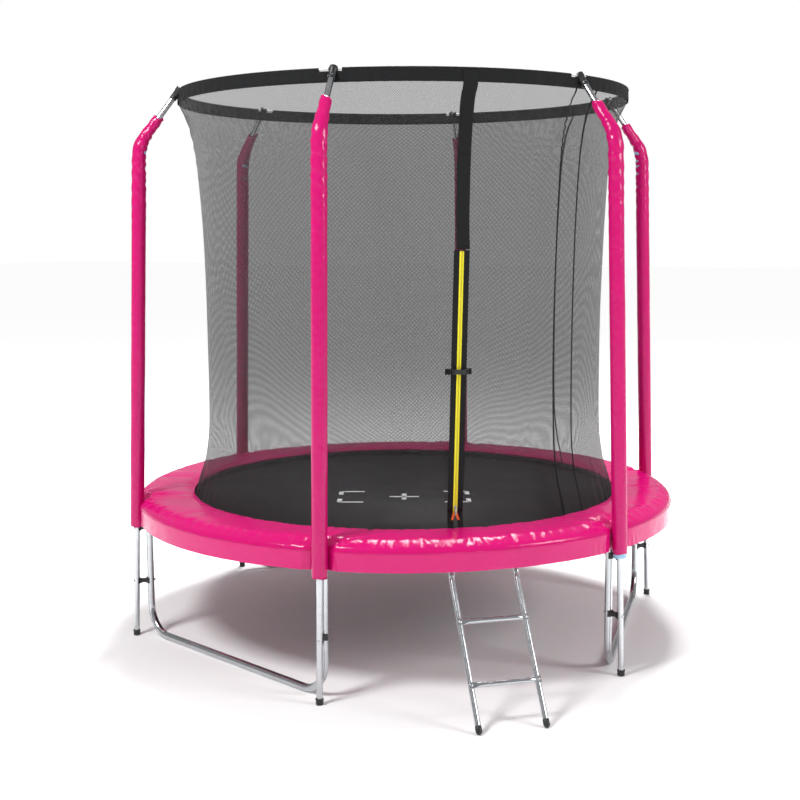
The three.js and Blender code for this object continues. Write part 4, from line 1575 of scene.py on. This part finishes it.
        shape = Shape()
        shape.grid(10, 90, (2 * self.flap_half, high - low), cloth)
        piece = shape.finish("door_cover_flap", Webbing(), Body.FRAME, Slot.WEBBING, ["door_flap"],
                             wall=0.0016)
        for name, height in (("upper", 2.135), ("lower", low + 0.008)):
            seam = Shape()
            seam.grid(
                10, 2, (2 * self.flap_half, 0.007),
                lambda u, v, height=height: cloth(u, (height + 0.007 * v - low) / (high - low))
                + place(middle, 0.0014, 0.0),
            )
            seam.finish(f"flap_seam_{name}", Webbing(), Body.FRAME, Slot.WEBBING, wall=0.0009)

    def webbing(
        self, name: str, start: Vector, end: Vector, body: Body | None
    ) -> bpy.types.Object:
        """A webbing end from a buckle half back to the net."""
        half = 0.0095
        shape = Shape()
        shape.grid(
            8, 3, ((end - start).length, 2 * half),
            lambda u, v: start.lerp(end, u) + UP * half * (2 * v - 1),
        )
        return shape.finish(name, Webbing(), body, Slot.WEBBING, wall=0.0018)

    def buckle(self) -> None:
        """The side-release buckle: a socket on the left and a pronged clip on the right."""
        z, half = self.buckle_height, self.buckle_half
        place_on = self.zip_axes(z)
        back, front, tall = -0.0130, -0.0240, 0.0100
        middle = (back + front) / 2
        socket = Shape()
        socket.block((-half + 0.006, front, -tall), (self.buckle_split, back, tall))
        mouth = max(socket.bm.faces, key=lambda f: f.normal.x)
        bmesh.ops.inset_region(socket.bm, faces=[mouth], thickness=0.0018)
        bmesh.ops.translate(socket.bm, verts=list(mouth.verts), vec=(-0.014, 0.0, 0.0))
        socket.block((-half, middle - 0.002, -tall), (-half + 0.004, middle + 0.002, tall))
        for sign in (-1, 1):
            socket.block((-half, middle - 0.002, sign * tall - 0.0016),
                         (-half + 0.008, middle + 0.002, sign * tall + 0.0016))
            socket.block((-0.012, front - 0.0008, sign * 0.0042 - 0.0012),
                         (-0.002, front + 0.0005, sign * 0.0042 + 0.0012))
        socket.move(place_on)
        socket.finish("buckle_socket_half", MouldedPlastic(), Body.FRAME, Slot.PLASTIC,
                      ["buckle_socket"], bevel=0.0011)
        clip = Shape()
        gap = 0.0004
        clip.block((self.buckle_split + gap, front, -tall), (half - 0.008, back, tall))
        for low, high in ((-0.0078, -0.0046), (-0.0015, 0.0015), (0.0046, 0.0078)):
            clip.block((self.buckle_split - 0.011, middle - 0.0016, low),
                       (self.buckle_split + 0.002, middle + 0.0016, high))
        clip.block((half - 0.004, middle - 0.002, -tall), (half, middle + 0.002, tall))
        for sign in (-1, 1):
            clip.block((half - 0.010, middle - 0.002, sign * tall - 0.0016),
                       (half, middle + 0.002, sign * tall + 0.0016))
        clip.move(place_on)
        clip.finish("buckle_clip_half", MouldedPlastic(), Body.BUCKLE_CLIP, Slot.PLASTIC,
                    ["buckle_tongue"], bevel=0.0011)
        self.buckle_tails(place_on, middle)

    def buckle_tails(self, place_on: Matrix, middle: float) -> None:
        """The buckle's two webbing ends; the right one rides on no body."""
        door = turn(self.net.layout.door)
        left = place_on @ Vector((-self.buckle_half + 0.003, middle, 0.0))
        right = place_on @ Vector((self.buckle_half - 0.003, middle, 0.0))
        anchors = [
            self.net.point(self.net.layout.door + angle, self.buckle_height, 0.0012)
            for angle in (-4.0, 1.3)
        ]
        self.webbing("buckle_tail_left", anchors[0], left, Body.FRAME)
        give = self.webbing("buckle_tail_right", right, anchors[1], None)
        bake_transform(give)
        stitched = door @ SIDE * 0.011
        for name, anchor, sign in (("left", anchors[0], 1), ("right", anchors[1], -1)):
            patch = Shape()
            patch.grid(
                4, 4, (0.022, 0.024),
                lambda u, v, anchor=anchor: anchor + stitched * (2 * u - 1)
                + UP * 0.012 * (2 * v - 1) - place(45, 1, 0) * 0.0004,
            )
            patch.finish(f"buckle_patch_{name}", Webbing(), Body.FRAME, Slot.WEBBING, wall=0.0014)


# ------------------------------------------------------------------ mat and springs


class Mark(Enum):
    """The plain shapes printed on the mat."""

    CORNER = "corner"
    PLUS = "plus"


@dataclass
class JumpMat:
    """The mat with its sewn edge, its wire rings and its printed marks."""

    layout: Layout
    radius: float = 1.038
    cloth: float = 0.0016
    hem: float = 0.040
    rings: int = 48
    wire: float = 0.0021
    print_spread: float = 0.22

    def build(self) -> None:
        """Builds the mat."""
        self.sheet_cloth()
        self.edge()
        self.wire_rings()
        self.marks()

    def sheet_cloth(self) -> None:
        """The taut woven sheet, with the faint ripples of its tension."""
        shape = Shape()
        top = self.layout.mat_top - self.cloth
        bmesh.ops.create_circle(
            shape.bm, cap_ends=True, radius=self.radius, segments=144,
            matrix=Matrix.Translation((0, 0, top)),
        )
        for inner in (0.035, 0.05, 0.09, 0.12, 0.14, 0.16, 0.16, 0.14):
            middle = max(shape.bm.faces, key=lambda f: len(f.verts))
            bmesh.ops.inset_region(shape.bm, faces=[middle], thickness=inner)
        bmesh.ops.poke(shape.bm, faces=[max(shape.bm.faces, key=lambda f: len(f.verts))])
        for v in shape.bm.verts:
            v.co.z += 0.0014 * noise.noise(v.co * 5) * smooth(self.radius - v.co.length, -0.6, 0.2)
        piece = shape.finish("mat_cloth", MatWeave(), Body.MAT, Slot.MAT, ["jump_mat"],
                             wall=self.cloth)

    def edge(self) -> None:
        """The two turns of webbing sewn round the mat, with their lines of stitching."""
        outer, top = self.radius + 0.001, self.layout.mat_top
        inner = outer - self.hem
        shape = Shape()
        shape.lathe(
            [(inner, top - 0.0006), (inner, top + 0.0008), (outer, top + 0.0008),
             (outer + 0.001, top - 0.002), (outer, top - 0.0052), (inner, top - 0.0052),
             (inner, top - 0.0038), (outer - 0.002, top - 0.0038), (outer - 0.002, top - 0.0006)],
            144, closed=True,
        )
        shape.finish("mat_hem", Webbing(), Body.MAT, Slot.WEBBING)
        thread = Shape()
        for r in (inner + 0.005, outer - 0.006):
            section = [(r + x, top + 0.0010 + y) for x, y in circle(0.0006, 5)]
            thread.lathe(section, 288, closed=True)
        thread.finish("mat_stitching", Webbing(colour="#2A2B2E"), Body.MAT, Slot.WEBBING)

    def wire_rings(self) -> None:
        """The triangular wire rings that the springs hook into."""
        shape = Shape()
        middle = self.layout.mat_top - 0.002
        for i in range(self.rings):
            azimuth = self.layout.door + 360 / self.rings * (i + 0.5)
            corners = [Vector((0.0, -1.0335, 0)), Vector((0.017, -1.0335, 0)),
                       Vector((0.019, -1.0375, 0)), Vector((0.0035, -1.0545, 0)),
                       Vector((0.0, -1.0560, 0)), Vector((-0.0035, -1.0545, 0)),
                       Vector((-0.019, -1.0375, 0)), Vector((-0.017, -1.0335, 0)),
                       Vector((0.0, -1.0335, 0))]
            rings = shape.tube([p + UP * middle for p in corners], self.wire, 6, UP)
            shape.move(turn(azimuth), [v for ring in rings for v in ring])
        shape.finish("mat_wire_rings", ZincSpringSteel(), Body.MAT, Slot.STEEL)

    def marks(self) -> None:
        """The generic printed marks: four corners round a plus."""
        shape = Shape()
        top, thick = self.layout.mat_top + 0.0004, 0.0002
        arm, line = 0.11, 0.022
        wide, deep = 1.35 * self.print_spread, 0.55 * self.print_spread

        def bar(x: float, y: float, half_x: float, half_y: float) -> None:
            """Adds one printed bar."""
            shape.block((x - half_x, y - half_y, top), (x + half_x, y + half_y, top + thick))

        for sx in (-1, 1):
            for sy in (-1, 1):
                bar(sx * (wide - arm / 2), sy * deep, arm / 2, line / 2)
                bar(sx * wide, sy * (deep - arm / 3), line / 2, arm / 3)
        bar(0.0, 0.0, arm / 1.6, line / 2)
        bar(0.0, 0.0, line / 2, arm / 1.6)
        facing = math.radians(30)
        spot = place(30, 0.16, 0.0)
        shape.move(Matrix.Translation(spot) @ Matrix.Rotation(facing, 4, "Z"))
        shape.finish("mat_print", ScreenPrint(), Body.MAT, Slot.MAT)


@dataclass
class Springs:
    """The coil springs between the mat's rings and the hoop."""

    layout: Layout
    count: int = 48
    wire: float = 0.0016
    coil: float = 0.0084
    inner_hook: float = 1.050
    body_inner: float = 1.072
    body_outer: float = 1.166
    outer_hook: float = 1.1875
    turns: int = 17

    def path(self) -> list[Vector]:
        """The wire's line on the -Y side: a hook, the turns of the coil and a hook."""
        z = self.layout.hoop_height
        inner = [Vector((0.0, -self.inner_hook - 0.004 + y, z + x))
                 for x, y in arc((0.0, 0.0), 0.0045, -60, 120, 6)]
        coil, per_turn = [], 9
        for i in range(self.turns * per_turn + 1):
            part, angle = i / (self.turns * per_turn), math.tau * i / per_turn
            out = self.body_inner + (self.body_outer - self.body_inner) * part
            coil.append(Vector((self.coil * math.sin(angle), -out, z + self.coil * math.cos(angle))))
        outer = [Vector((0.0, -self.outer_hook + 0.004 - y, z + x))
                 for x, y in arc((0.0, 0.0), 0.0045, 120, -60, 6)]
        return [*inner, *coil, *outer]

    def build(self) -> None:
        """Builds each spring, hooked to the hoop outside and to the mat inside."""
        path = self.path()
        for i in range(self.count):
            azimuth = self.layout.door + 360 / self.count * (i + 0.5)
            shape = Shape()
            shape.tube(path, self.wire, 5, UP + SIDE)
            shape.move(turn(azimuth))
            nodes = ["spring_set"] if i == 0 else []
            piece = shape.finish(f"spring_{i + 1}", ZincSpringSteel(), None, Slot.STEEL, nodes)
            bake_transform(piece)


# ------------------------------------------------------------------ edge pad


@dataclass
class EdgePad:
    """The padded cover over the springs, with its skirt down outside the hoop."""

    layout: Layout
    inner: float = 0.991
    shoulder: float = 1.214
    outer: float = 1.2500
    round_from: float = 1.192
    low: float = field(default_factory=lambda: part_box("pad_foam")[0].z - 0.001)
    top: float = field(default_factory=lambda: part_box("pad_foam")[1].z + 0.001)
    seam: float = 0.606
    hem: float = 0.528
    cloth: float = 0.002
    columns: int = 840
    step: float = 0.0095
    crown: float = 0.0045
    foam_joints: int = 8
    pole_room: float = 0.0335

    def section(self) -> list[Vector]:
        """The cover's closed outline, as points (distance from the axis, 0, height)."""
        r, low, top = 0.008, self.low, self.top
        corner = arc((self.inner + r, top - r), r, 180, 90, 4)
        lean = [
            (self.round_from + (self.outer - self.round_from) * math.cos(math.radians(a)),
             self.seam + (top - self.seam) * math.sin(math.radians(a)))
            for a in range(90, 0, -10)
        ]
        line = [
            (self.inner + 0.004, low), (self.inner, low + 0.004), *corner, *lean,
            (self.outer, self.seam), (self.outer, self.hem), (self.outer - self.cloth, self.hem),
            (self.outer - self.cloth, self.seam - 0.001), (self.shoulder - 0.001, low + 0.006),
            (self.shoulder - 0.008, low), (self.inner + 0.004, low),
        ]
        return even_steps([Vector((a, 0.0, b)) for a, b in line], self.step)

    def notch(self, azimuth: float) -> float:
        """How far the cover gives way inwards to a pole."""
        across = math.radians(self.layout.from_pole(azimuth)) * self.outer
        pole = self.layout.pole_radius(self.layout.hoop_height)
        return (self.outer - pole + self.pole_room) * bell(across, 0.046)

    def creases(self, azimuth: float, radius: float) -> float:
        """The folds that run from each pole across the pad's top."""
        across = math.radians(self.layout.from_pole(azimuth)) * radius
        back = self.layout.pole_radius(self.layout.hoop_height) - radius
        away = math.hypot(across, back)
        fan = math.atan2(across, back)
        index = round(azimuth / 60)
        folds = math.sin(15 * fan + 2 * math.sin(7 * fan + index)) * bell(away - 0.03, 0.125)
        fine = math.sin(37 * fan + 3 * math.sin(5 * fan - index)) * bell(away - 0.05, 0.075)
        return (folds + 0.4 * fine) * smooth(away, 0.02, 0.05)

    def surface(self, azimuth: float, point: Vector) -> Vector:
        """Where a point of the outline lies at an azimuth, with the cloth's give.

        Args:
            azimuth: The azimuth, in degrees.
            point: The point of the outline.

        Returns:
            Its place on the pad.
        """
        r, z = point.x, point.z
        middle, half = (self.inner + self.shoulder) / 2, (self.shoulder - self.inner) / 2
        on_top = smooth(z, self.low + 0.008, self.top - 0.003) * (r < self.shoulder + 0.002)
        on_edge = bell(r - self.shoulder - 0.006, 0.019) * smooth(z, self.low - 0.01, self.low)
        angle = math.radians(azimuth)
        at = Vector((math.sin(angle), math.cos(angle), 0.0)) * r
        lumps = noise.noise(at * 6) * 0.0024 + noise.noise(at * 17 + UP) * 0.0011
        z += on_top * (self.crown * (1 - ((r - middle) / half) ** 2) + lumps)
        z += max(on_top, 0.8 * on_edge) * 0.0062 * self.creases(azimuth, r)
        crinkle = noise.noise(at * 31 + UP * r * 30)
        z += on_edge * (0.0022 * crinkle + 0.0012 * noise.noise(at * 70 + UP * r * 40))
        joint = wrap((azimuth - 22.5) * self.foam_joints / 1.0) / self.foam_joints
        z -= on_top * 0.0032 * bell(math.radians(joint) * r, 0.010)
        give = smooth(r, self.shoulder - 0.05, self.outer - 0.006)
        r -= self.notch(azimuth) * give
        hang = smooth(self.seam - z, -0.01, self.seam - self.hem)
        wave = noise.noise(Vector((math.sin(angle), math.cos(angle), 0.3)) * 9)
        near = bell(math.radians(self.layout.from_pole(azimuth)) * self.outer, 0.14)
        tuck = math.sin(azimuth * 4.1 + 3 * wave) * near
        r += (0.0042 * wave + 0.0030 * tuck) * hang * (1 - bell(self.notch(azimuth) - 0.03, 0.012))
        z += 0.0022 * wave * hang
        return place(azimuth, r, z)

    def build(self) -> None:
        """Builds the cover, its piping and the foam inside."""
        self.cover()
        self.piping("seam", 0.0013, lambda p: abs(p.z - self.seam) + 5 * abs(p.x - self.outer))
        self.foam()

    def cover(self) -> None:
        """The PVC cover, closed round the foam."""
        outline = self.section()
        shape = Shape()
        rows = len(outline) - 1
        shape.grid(
            self.columns, rows, (math.tau * self.outer, 0.7),
            lambda u, v: self.surface(360 * u, outline[round(v * rows)]),
        )
        bmesh.ops.remove_doubles(shape.bm, verts=shape.bm.verts[:], dist=1e-5)
        piece = shape.finish("edge_pad", PadVinyl(), Body.FRAME, Slot.PAD, ["pad_cover"])
        settle(piece, self.sewn, 3.0, 0.02, 0.005)

    def sewn(self, point: Vector) -> bool:
        """Whether the cover is sewn down here: its skirt, its underside and its inner edge."""
        out = point.to_2d().length
        return point.z < self.seam + 0.004 or point.z < self.low + 0.004 or out < self.inner + 0.003

    def piping(self, name: str, radius: float, score: Callable[[Vector], float]) -> None:
        """A line of piping round the pad, on the outline's point with the lowest score."""
        point = min(self.section(), key=score)
        shape = Shape()
        path = [self.surface(360 * i / 400, point) for i in range(401)]
        shape.tube([p + place(360 * i / 400, 0.0006, 0) for i, p in enumerate(path)], radius, 6, UP)
        shape.finish(f"pad_{name}_piping", PadVinyl(), Body.FRAME, Slot.PAD)

    def foam(self) -> None:
        """The foam ring inside the cover."""
        shape = Shape()
        inset = 0.006
        inner, outer = self.inner + 2 * inset, self.shoulder - 6 * inset
        shape.lathe([(inner, self.low + 0.001), (outer, self.low + 0.001),
                     (outer, self.top - inset), (inner, self.top - inset)], 180, closed=True)
        shape.finish("edge_pad_foam", BlueFoam(), Body.FRAME, Slot.FOAM, ["pad_foam"])


# ------------------------------------------------------------------ ladder


@dataclass
class Ladder:
    """The hook-on ladder: two tubes with strap hooks, two rungs and their bolts."""

    layout: Layout
    half_width: float = 0.1325
    tube: float = 0.011
    neck: float = 0.500
    foot: float = 1.562
    foot_height: float = 0.0125
    hook_inner: float = 0.018
    strap: float = 0.003
    strap_half: float = 0.0125
    lip: float = 0.014
    rungs: tuple[float, float] = (0.352, 0.151)
    rung_radius: float = 0.010

    def __post_init__(self) -> None:
        """Works out the ladder's own lines from its sizes."""
        hoop = self.layout.hoop_radius
        self.hook_out = math.sqrt(hoop**2 - self.half_width**2)
        self.low_end = Vector((0.0, -self.foot, self.foot_height))
        self.high_end = Vector((0.0, -(self.hook_out + self.hook_inner + self.strap / 2), self.neck))
        self.rise = (self.high_end - self.low_end).normalized()
        self.front = Vector((0.0, -self.rise.z, self.rise.y))
        self.facing = turn(self.layout.door)

    def on_rail(self, height: float) -> Vector:
        """A point on the rails' line at a height."""
        return self.low_end + self.rise * ((height - self.low_end.z) / self.rise.z)

    def build(self) -> None:
        """Builds the ladder."""
        for side, name in ((-1, "left"), (1, "right")):
            self.rail(side, name)
            self.plug(side, name)
        for height, name in zip(self.rungs, ("upper", "lower")):
            self.rung(height, name)
            self.bolts(height, name)

    def rail(self, side: int, name: str) -> None:
        """One rail: the tube, and the flat strap that hooks over the hoop."""
        shape = Shape()
        knee, end = self.high_end.z + 0.003, self.high_end.z + 0.036
        path = even_steps([self.low_end + self.rise * 0.004, self.high_end], 0.02)
        path += [Vector((0.0, self.high_end.y, knee + (end - knee) * i / 6)) for i in range(7)]
        placed = []
        for at, spot in zip(path, stations(path, SIDE)):
            pressed = smooth(at.z, knee, end - 0.01)
            placed.append(spot @ Matrix.Diagonal((1 + 0.12 * pressed, 1 - 0.78 * pressed, 1.0, 1.0)))
        shape.sweep(circle(self.tube, 20), placed)
        mid = self.hook_inner + self.strap / 2
        bend = arc((0.0, 0.0), mid, 0, 180, 14)
        line = [(mid, self.neck - self.layout.hoop_height + 0.05), (mid, -0.02), *bend,
                (-mid, -self.lip * 0.6), (-mid - 0.001, -self.lip)]
        points = [
            Vector((0.0, -self.hook_out - a, self.layout.hoop_height + b)) for a, b in line
        ]
        flat = [(-self.strap_half, -self.strap / 2), (self.strap_half, -self.strap / 2),
                (self.strap_half, self.strap / 2), (-self.strap_half, self.strap / 2)]
        shape.sweep(flat, stations(points, SIDE))
        shape.move(self.facing @ Matrix.Translation((side * self.half_width, 0.0, 0.0)))
        shape.finish(f"ladder_tube_{name}", GalvanisedSteel(), Body.LADDER, Slot.STEEL,
                     [f"ladder_rail_{name}"], bevel=0.0006)

    def plug(self, side: int, name: str) -> None:
        """The rounded plug in a rail's lower end."""
        r = self.foot_height
        profile = [(0.0, -r), *arc((0.0, 0.0), r, -80, 0, 7), (r, 0.018), (r - 0.0008, 0.020),
                   (self.tube + 0.0004, 0.021), (self.tube + 0.0004, 0.0), (0.0, 0.0)]
        shape = Shape()
        shape.lathe(profile, 32)
        tilt = UP.rotation_difference(self.rise).to_matrix().to_4x4()
        at = self.low_end + SIDE * side * self.half_width
        shape.move(self.facing @ Matrix.Translation(at) @ tilt)
        shape.finish(f"ladder_plug_{name}", MouldedPlastic(), Body.LADDER, Slot.PLASTIC,
                     [f"ladder_foot_{name}"])

    def rung(self, height: float, name: str) -> None:
        """One rung: a tube whose ends are pressed flat and flare over the rails."""
        lift = self.tube + 0.0018
        flare = [  # how far out, how far forward, how wide, how thick
            (0.143, lift, 1.28, 0.16), (0.140, lift, 1.34, 0.17), (0.122, lift, 1.26, 0.17),
            (0.114, lift - 0.001, 1.16, 0.36), (0.104, lift - 0.003, 1.05, 0.78),
            (0.094, lift - 0.0045, 1.0, 1.0), (0.04, lift - 0.0045, 1.0, 1.0),
        ]
        steps = [(-a, b, c, d) for a, b, c, d in flare] + [
            (a, b, c, d) for a, b, c, d in reversed(flare)
        ]
        middle = self.on_rail(height)
        path = [middle + SIDE * a + self.front * b for a, b, _, _ in steps]
        placed = []
        for at, (_, _, wide, thick) in zip(path, steps):
            axes = Matrix((self.rise, self.front, SIDE)).transposed().to_4x4()
            placed.append(
                Matrix.Translation(at) @ axes @ Matrix.Diagonal((wide, thick, 1.0, 1.0)))
        shape = Shape()
        shape.sweep(circle(self.rung_radius, 24), placed)
        shape.move(self.facing)
        shape.finish(f"ladder_step_{name}", GalvanisedSteel(), Body.LADDER, Slot.STEEL,
                     [f"ladder_rung_{name}"], bevel=0.0004)

    def bolts(self, height: float, name: str) -> None:
        """The domed bolts through a rung's flat ends, and their nuts behind the rails."""
        shape = Shape()
        tilt = UP.rotation_difference(self.front).to_matrix().to_4x4()
        back = UP.rotation_difference(-self.front).to_matrix().to_4x4()
        nut = [(0.0, 0.0), (0.0058, 0.0), (0.0062, 0.001), (0.0062, 0.004), (0.0, 0.0046)]
        for side in (-1, 1):
            at = self.on_rail(height) + SIDE * side * self.half_width
            outside = at + self.front * (self.tube + 0.0032)
            shape.dome(0.0064, 0.004, self.facing @ Matrix.Translation(outside) @ tilt)
            inside = at - self.front * (self.tube - 0.0006)
            shape.move(self.facing @ Matrix.Translation(inside) @ back, shape.lathe(nut, 6))
        shape.finish(f"ladder_bolts_{name}", ZincSpringSteel(), Body.LADDER, Slot.STEEL)


# ------------------------------------------------------------------ studio


@dataclass
class Studio:
    """The pale floor, the soft lights and the camera."""

    camera_azimuth: float = 30.19
    distance: float = 6.134
    height: float = 1.8312
    tilt: float = -7.328
    roll: float = -0.235
    swing: float = 0.172
    lens: float = 58.63
    surround: float = 0.35

    def build(self) -> None:
        """Sets up the studio."""
        self.camera()
        self.floor()
        self.world()
        self.softbox("key_light", (-3.2, -3.6, 5.6), 1.4, 290.0)
        self.softbox("fill_light", (5.4, -3.2, 3.6), 1.8, 150.0)
        self.softbox("back_light", (0.6, 2.4, 6.8), 2.4, 720.0)
        bpy.context.scene.view_settings.view_transform = "Standard"

    def camera(self) -> None:
        """The camera, at the height of an adult's chest and looking a little down."""
        data = bpy.data.cameras.new("camera")
        data.lens, data.sensor_width = self.lens, 36.0
        data.clip_end = 200.0
        camera = bpy.data.objects.new("camera", data)
        p, y, r = (math.radians(a) for a in (self.tilt, self.swing, self.roll))
        forward = Vector((-math.sin(y) * math.cos(p), math.cos(y) * math.cos(p), math.sin(p)))
        side = Vector((math.cos(y), math.sin(y), 0.0))
        up = side.cross(forward)
        right = side * math.cos(r) + up * math.sin(r)
        above = up * math.cos(r) - side * math.sin(r)
        axes = Matrix((right, above, -forward)).transposed().to_4x4()
        spot = Matrix.Translation((0.0, -self.distance, self.height))
        camera.matrix_world = turn(self.camera_azimuth) @ spot @ axes
        bpy.context.scene.collection.objects.link(camera)
        bpy.context.scene.camera = camera

    def floor(self) -> None:
        """The plain floor."""
        shape = Shape()
        bmesh.ops.create_grid(shape.bm, x_segments=1, y_segments=1, size=60.0)
        mesh = bpy.data.meshes.new("floor")
        shape.bm.to_mesh(mesh)
        shape.bm.free()
        mesh.materials.append(StudioFloor().material())
        floor = bpy.data.objects.new("floor", mesh)
        bpy.context.scene.collection.objects.link(floor)

    def world(self) -> None:
        """An even surround, white where it is seen."""
        world = bpy.data.worlds.new("surround")
        world.use_nodes = True
        tree = world.node_tree
        background = tree.nodes["Background"]
        background.inputs["Color"].default_value = linear("#FFFFFF")
        seen = add_node(tree, "ShaderNodeLightPath").outputs["Is Camera Ray"]
        strength = add_node(
            tree, "ShaderNodeMapRange",
            {"Value": seen, "To Min": self.surround, "To Max": 1.0},
        )
        tree.links.new(strength.outputs["Result"], background.inputs["Strength"])
        bpy.context.scene.world = world

    def softbox(
        self, name: str, spot: tuple[float, float, float], size: float, power: float
    ) -> None:
        """A square soft light that faces the trampoline's middle."""
        data = bpy.data.lights.new(name, "AREA")
        data.shape, data.size, data.energy = "SQUARE", size, power
        light = bpy.data.objects.new(name, data)
        away = turn(self.camera_azimuth) @ Vector(spot)
        aim = (Vector((0.0, 0.0, 1.0)) - away).to_track_quat("-Z", "Y")
        light.matrix_world = Matrix.Translation(away) @ aim.to_matrix().to_4x4()
        bpy.context.scene.collection.objects.link(light)


@dataclass(frozen=True)
class StudioFloor(Finish):
    """A matt white floor that fades into the white surround."""

    colour: str = "#FFFFFF"
    roughness: float = 0.9
    fade_start: float = 2.2  # from the middle
    fade_end: float = 6.0

    def dress(self, tree: bpy.types.NodeTree, shader: bpy.types.Node) -> None:
        """Lets the floor grow white with distance."""
        places = add_node(tree, "ShaderNodeTexCoord").outputs["Object"]
        away = add_node(tree, "ShaderNodeVectorMath", {0: places}, operation="LENGTH")
        glow = add_node(
            tree, "ShaderNodeMapRange",
            {
                "Value": away.outputs["Value"], "From Min": self.fade_start,
                "From Max": self.fade_end, "To Min": 0.04, "To Max": 0.62,
            },
        )
        shader.inputs["Emission Color"].default_value = linear("#FFFFFF")
        tree.links.new(glow.outputs["Result"], shader.inputs["Emission Strength"])


def main() -> None:
    """Builds the studio and the trampoline."""
    logging.basicConfig(level=logging.INFO, format="%(name)s: %(message)s")
    Studio().build()
    layout = Layout()
    net = SafetyNet(layout)
    for assembly in (
        SteelFrame(layout), NetPoles(layout), net, Door(net), JumpMat(layout), Springs(layout),
        EdgePad(layout), Ladder(layout),
    ):
        log.info("building %s", type(assembly).__name__)
        assembly.build()


if __name__ == "__main__":
    main()
